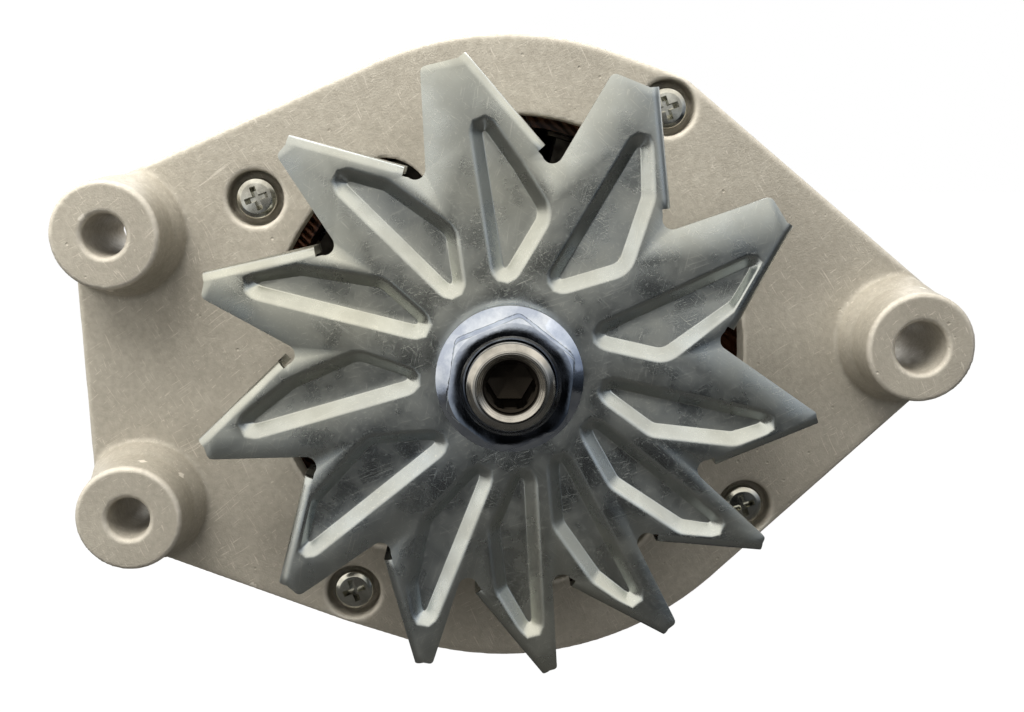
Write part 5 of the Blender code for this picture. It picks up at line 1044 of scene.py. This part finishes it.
def prism(name, layers):
    """A closed body through layers of (outline, height), all with the same number of points."""
    shape = bmesh.new()
    rows = [[shape.verts.new((x, y, height)) for x, y in outline] for outline, height in layers]
    for above, below in zip(rows, rows[1:]):
        for index in range(len(above)):
            shape.faces.new((above[index - 1], above[index], below[index], below[index - 1]))
    shape.faces.new(rows[0])
    shape.faces.new(rows[-1])
    bmesh.ops.recalc_face_normals(shape, faces=shape.faces)
    return solid(name, shape)


def bow(centre, radius, start, end):
    """Points along an arc, one for about every five degrees."""
    count = ceil(abs(end - start) / 5)
    return [centre + polar(radius, start + (end - start) * index / count) for index in range(count + 1)]


def fan_shaped(inner, outer, start, end, inner_corner=0.0005, outer_corner=0.0005):
    """The outline of a piece of a ring between two angles, with its corners rounded."""
    near, far, middle = outer - outer_corner, inner + inner_corner, Vector((0, 0))
    wide, slim = degrees(asin(outer_corner / near)), degrees(asin(inner_corner / far))
    outline = bow(polar(near, start + wide), outer_corner, start - 90, start + wide)
    outline += bow(middle, outer, start + wide, end - wide)[1:]
    outline += bow(polar(near, end - wide), outer_corner, end - wide, end + 90)[1:]
    outline += bow(polar(far, end - slim), inner_corner, end + 90, end - slim + 180)
    outline += bow(middle, inner, end - slim, start + slim)[1:]
    return outline + bow(polar(far, start + slim), inner_corner, start + slim + 180, start + 270)[1:]


def beam(name, low, high, turn):
    """A straight rib from one corner to the other, turned about the shaft axis."""
    corners = [(low[0], low[1]), (high[0], low[1]), (high[0], high[1]), (low[0], high[1])]
    spun = [Matrix.Rotation(radians(turn), 2) @ Vector(corner) for corner in corners]
    return prism(name, [(spun, high[2]), (spun, low[2])])


def cast(item, cell, rounds):
    """Remakes a body out of small cells and smooths it, as casting and blasting round every edge."""
    remake = item.modifiers.new("cells", "REMESH")
    remake.mode = "VOXEL"
    remake.voxel_size = cell * 1
    remake.use_smooth_shade = True
    relax = item.modifiers.new("blasting", "SMOOTH")
    relax.factor = 0.5
    relax.iterations = rounds
    return bake(item)


# %% Front bracket
outline = belt([(Vector((0, 0)), PLATE_RADIUS)] + [(centre, lug) for centre, _, _, lug in EARS]
               + [(spot, 0.0069) for spot in BOLT_SPOTS])
front = prism("drive_end_bracket_cast", [
    (spread_out(outline, -0.0009), PLATE_FACE), (spread_out(outline, -0.0003), PLATE_FACE - 0.0002),
    (outline, PLATE_FACE - 0.0008), (outline, PLATE_FOOT)])
shell = solid("shell", revolve([
    (0, PLATE_FACE - 0.004), (SHELL_RADIUS, PLATE_FACE - 0.004), (SHELL_RADIUS, FRONT_RIM),
    (0, FRONT_RIM)], 144))
hub = solid("hub", revolve([
    (0, -0.0098), (0.0267, -0.0098), (0.0275, -0.0106), (0.0275, -0.0163), (0, -0.0163)], 96))
parts = [shell, hub]
for centre, radius, _, _ in EARS:
    base = radius + 0.0009
    parts.append(solid("boss", revolve([
        (0, 0), (radius - 0.0005, 0), (radius, -0.0005), (base, PLATE_FACE), (base, -0.0265),
        (base - 0.0005, -0.027), (0, -0.027)], 72, centre)))
    flare = solid("flare", revolve([
        (0, PLATE_FACE + 0.0040), (base - 0.0001, PLATE_FACE + 0.0040),
        (base + 0.0012, PLATE_FACE + 0.0012), (base + 0.0014, PLATE_FACE - 0.003),
        (0, PLATE_FACE - 0.003)], 72, centre))
    inner = spread_out(outline, -0.0006)
    keep = prism("keep", [(inner, PLATE_FACE + 0.004), (inner, PLATE_FOOT)])
    parts.append(joined(flare, [keep], "INTERSECT"))
    parts.append(beam("rib", (0.0603, -0.0035, -0.0265), (hypot(*centre), 0.0035, PLATE_FACE - 0.004),
                      degrees(atan2(centre.y, centre.x))))
joined(front, parts, "UNION")
hollow = solid("hollow", revolve([
    (0, -0.009), (0.0140, -0.009), (0.0140, -0.0123), (0.0238, -0.0123), (0.0238, -0.0266),
    (0.0310, -0.0266), (0.0310, -0.0198), (SHELL_INSIDE, -0.0198), (SHELL_INSIDE, -0.0409), (0, -0.0409)],
    144))
holes = [hollow]
for vent in range(5):
    start = FIRST_SPOKE + SPOKE_WIDTH / 2 + VENT_PITCH * vent
    opening = fan_shaped(VENT_INNER, VENT_OUTER, start, start + VENT_PITCH - SPOKE_WIDTH,
                         VENT_INNER_CORNER, VENT_OUTER_CORNER)
    holes.append(prism("vent", [(opening, PLATE_FACE + 0.0008), (opening, -0.0206)]))
for spot in BOLT_SPOTS:
    holes.append(solid("seat", revolve([
        (0, PLATE_FACE + 0.0005), (0.0066, PLATE_FACE + 0.0005), (0.0056, PLATE_FACE - 0.0005),
        (0.0056, -0.0175), (0.0028, -0.0175), (0.0028, -0.0409), (0, -0.0409)], 48, spot)))
for centre, _, bore, _ in EARS:
    holes.append(solid("bore", revolve([
        (0, 0.0006), (bore + 0.0012, 0.0006), (bore, -0.0006), (bore - 0.0006, -0.0276), (0, -0.0276)],
        48, centre)))
for turn in (90, 210, 330):
    holes.append(solid("hole", revolve([
        (0, -0.0184), (0.0023, -0.0184), (0.0023, -0.0274), (0, -0.0274)], 24, polar(0.0274, turn))))
joined(front, holes, "DIFFERENCE")
cast(front, 0.0005, 3)
dressed(front, "drive_end_bracket", angle=80)
print("front bracket faces:", len(front.data.polygons))

# %% [markdown]
# The parts behind
#
# The slip-ring end bracket, the stator and the plastic cover don't show in the photograph, but a part
# is judged from all sides. They are round, so they are turned again with finer steps and given the
# same care: the casting is rounded by cells, and the cover keeps the crisp but eased edges of a
# moulding. The stator's outside has four grooves that let the bolts pass.

# %% Rear bracket
REAR_RIM, REAR_WALL_INSIDE, REAR_FACE = -0.0707, -0.0919, -0.0979
rear = solid("slip_ring_end_bracket_cast", revolve([
    (SHELL_RADIUS, REAR_RIM), (SHELL_RADIUS, REAR_FACE + 0.002),
    (SHELL_RADIUS - 0.0006, REAR_FACE + 0.0006), (SHELL_RADIUS - 0.002, REAR_FACE),
    (0.011, REAR_FACE), (0.011, REAR_FACE + 0.0021),
    (0.0196, REAR_FACE + 0.0021), (0.0196, -0.0845), (0.0241, -0.0845), (0.0241, REAR_WALL_INSIDE),
    (SHELL_INSIDE, REAR_WALL_INSIDE), (SHELL_INSIDE, REAR_RIM)], 144))
holes = []
for vent in range(6):
    start = 60 + 10 + 60 * vent
    opening = fan_shaped(0.029, 0.053, start, start + 40)
    holes.append(prism("vent", [(opening, REAR_WALL_INSIDE + 0.0008), (opening, REAR_FACE - 0.0008)]))
for spot in BOLT_SPOTS:
    holes.append(solid("thread", revolve([
        (0, REAR_RIM + 0.0008), (0.0028, REAR_RIM + 0.0008), (0.0028, -0.093), (0, -0.093)], 32, spot)))
joined(rear, holes, "DIFFERENCE")
cast(rear, 0.0006, 3)
dressed(rear, "slip_ring_end_bracket", angle=80)
print("rear bracket faces:", len(rear.data.polygons))


# %% Stator stack
STACK_RADIUS, GROOVE_RADIUS = 0.0625, 0.0031


def grooved(angle):
    """Outer radius of the stack, with a round groove at each bolt."""
    off = (angle - FIRST_BOLT + 45) % 90 - 45
    reach = BOLT_CIRCLE * sin(radians(off))
    if abs(reach) < GROOVE_RADIUS:
        return min(STACK_RADIUS, BOLT_CIRCLE * cos(radians(off)) - sqrt(GROOVE_RADIUS ** 2 - reach ** 2))
    return STACK_RADIUS


def slotted(angle):
    """Inner radius of the stack, with 36 slots for the winding."""
    off = (angle + 5) % 10 - 5
    return 0.0545 if abs(off) < 1.9 else 0.0469


stack = solid("stator_core_stacked", revolve([(grooved, -0.0404), (grooved, -0.0704), (slotted, -0.0704),
                                              (slotted, -0.0404)], 720))
dressed(stack, "stator_core", angle=40)
print("stack faces:", len(stack.data.polygons))

# %% Rear cover
cover = solid("rear_cover_moulded", revolve(
    eased([(0.0618, -0.0982), (0.0618, -0.1335), (0.03, -0.1335), (0, -0.1335)], 0.002, 6)
    + [(0, -0.1315), (0.0578, -0.1315), (0.0592, -0.1309), (0.0598, -0.1295), (0.0598, -0.0982)], 144))
COVER_SPOTS = [polar(0.0565, turn) for turn in (15, 135, 255)]
post_rows = [(0, -0.0982), (0.003, -0.0982), (0.003, -0.1325), (0, -0.1325)]
joined(cover, [solid("post", revolve(post_rows, 32, spot)) for spot in COVER_SPOTS], "UNION")
hole_rows = [(0, -0.097), (0.0018, -0.097), (0.0018, -0.1345), (0, -0.1345)]
holes = [solid("hole", revolve(hole_rows, 24, spot)) for spot in COVER_SPOTS]
for slot in range(19):
    start = 118 + 12 * slot
    opening = fan_shaped(0.018, 0.046, start, start + 5)
    holes.append(prism("slot", [(opening, -0.1307), (opening, -0.1343)]))
holes.append(solid("stud_hole", revolve([
    (0, -0.1307), (0.0073, -0.1307), (0.0073, -0.1343), (0, -0.1343)], 48, (0.040, 0))))
blade_slot = [(-0.0063, 0.03785), (0.0063, 0.03785), (0.0063, 0.04415), (-0.0063, 0.04415)]
holes.append(prism("blade_hole", [(blade_slot, -0.1307), (blade_slot, -0.1343)]))
joined(cover, holes, "DIFFERENCE")
lip = cover.modifiers.new("moulded_edges", "BEVEL")
lip.limit_method = "ANGLE"
lip.angle_limit = radians(50)
lip.width = 0.00025
lip.segments = 2
bake(cover)
dressed(cover, "rear_cover", angle=40)
print("cover faces:", len(cover.data.polygons))

# %% [markdown]
# Everything else
#
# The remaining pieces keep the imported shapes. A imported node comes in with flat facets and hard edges,
# so each is copied, its doubled corners are joined, its edges eased by a size that suits it, and its
# round faces are smoothed. Then the copy stands for the node and takes the finish of its slot.

# %% Ease the remaining pieces
EDGES = {"battery_stud": 0.0004, "battery_stud_nut": 0.0004, "battery_stud_insulator": 0.0003,
         "voltage_regulator": 0.0004, "brush_holder": 0.0004, "bearing_retainer": 0.0002,
         "fan_spacer": 0.0003, "field_bobbin": 0.0002, "warning_lamp_terminal": 0.0001,
         "negative_heat_sink": 0.0003, "positive_heat_sink": 0.0003, "phase_terminal_board": 0.0003}
HANDMADE = {"cooling_fan", "flange_nut", "rotor_shaft", "drive_end_bracket", "slip_ring_end_bracket",
            "stator_core", "rear_cover"} | {f"through_bolt_{number}" for number in range(1, 5)}
for node in sorted(set(frame["nodes"]) - HANDMADE):
    easing = EDGES.get(node, 0.0)
    if "screw" in node or "diode" in node or "ring" in node and "spring" not in node:
        easing = 0.0002
    eased_copy(node, easing)
print("eased pieces:", len(frame["nodes"]) - len(HANDMADE))
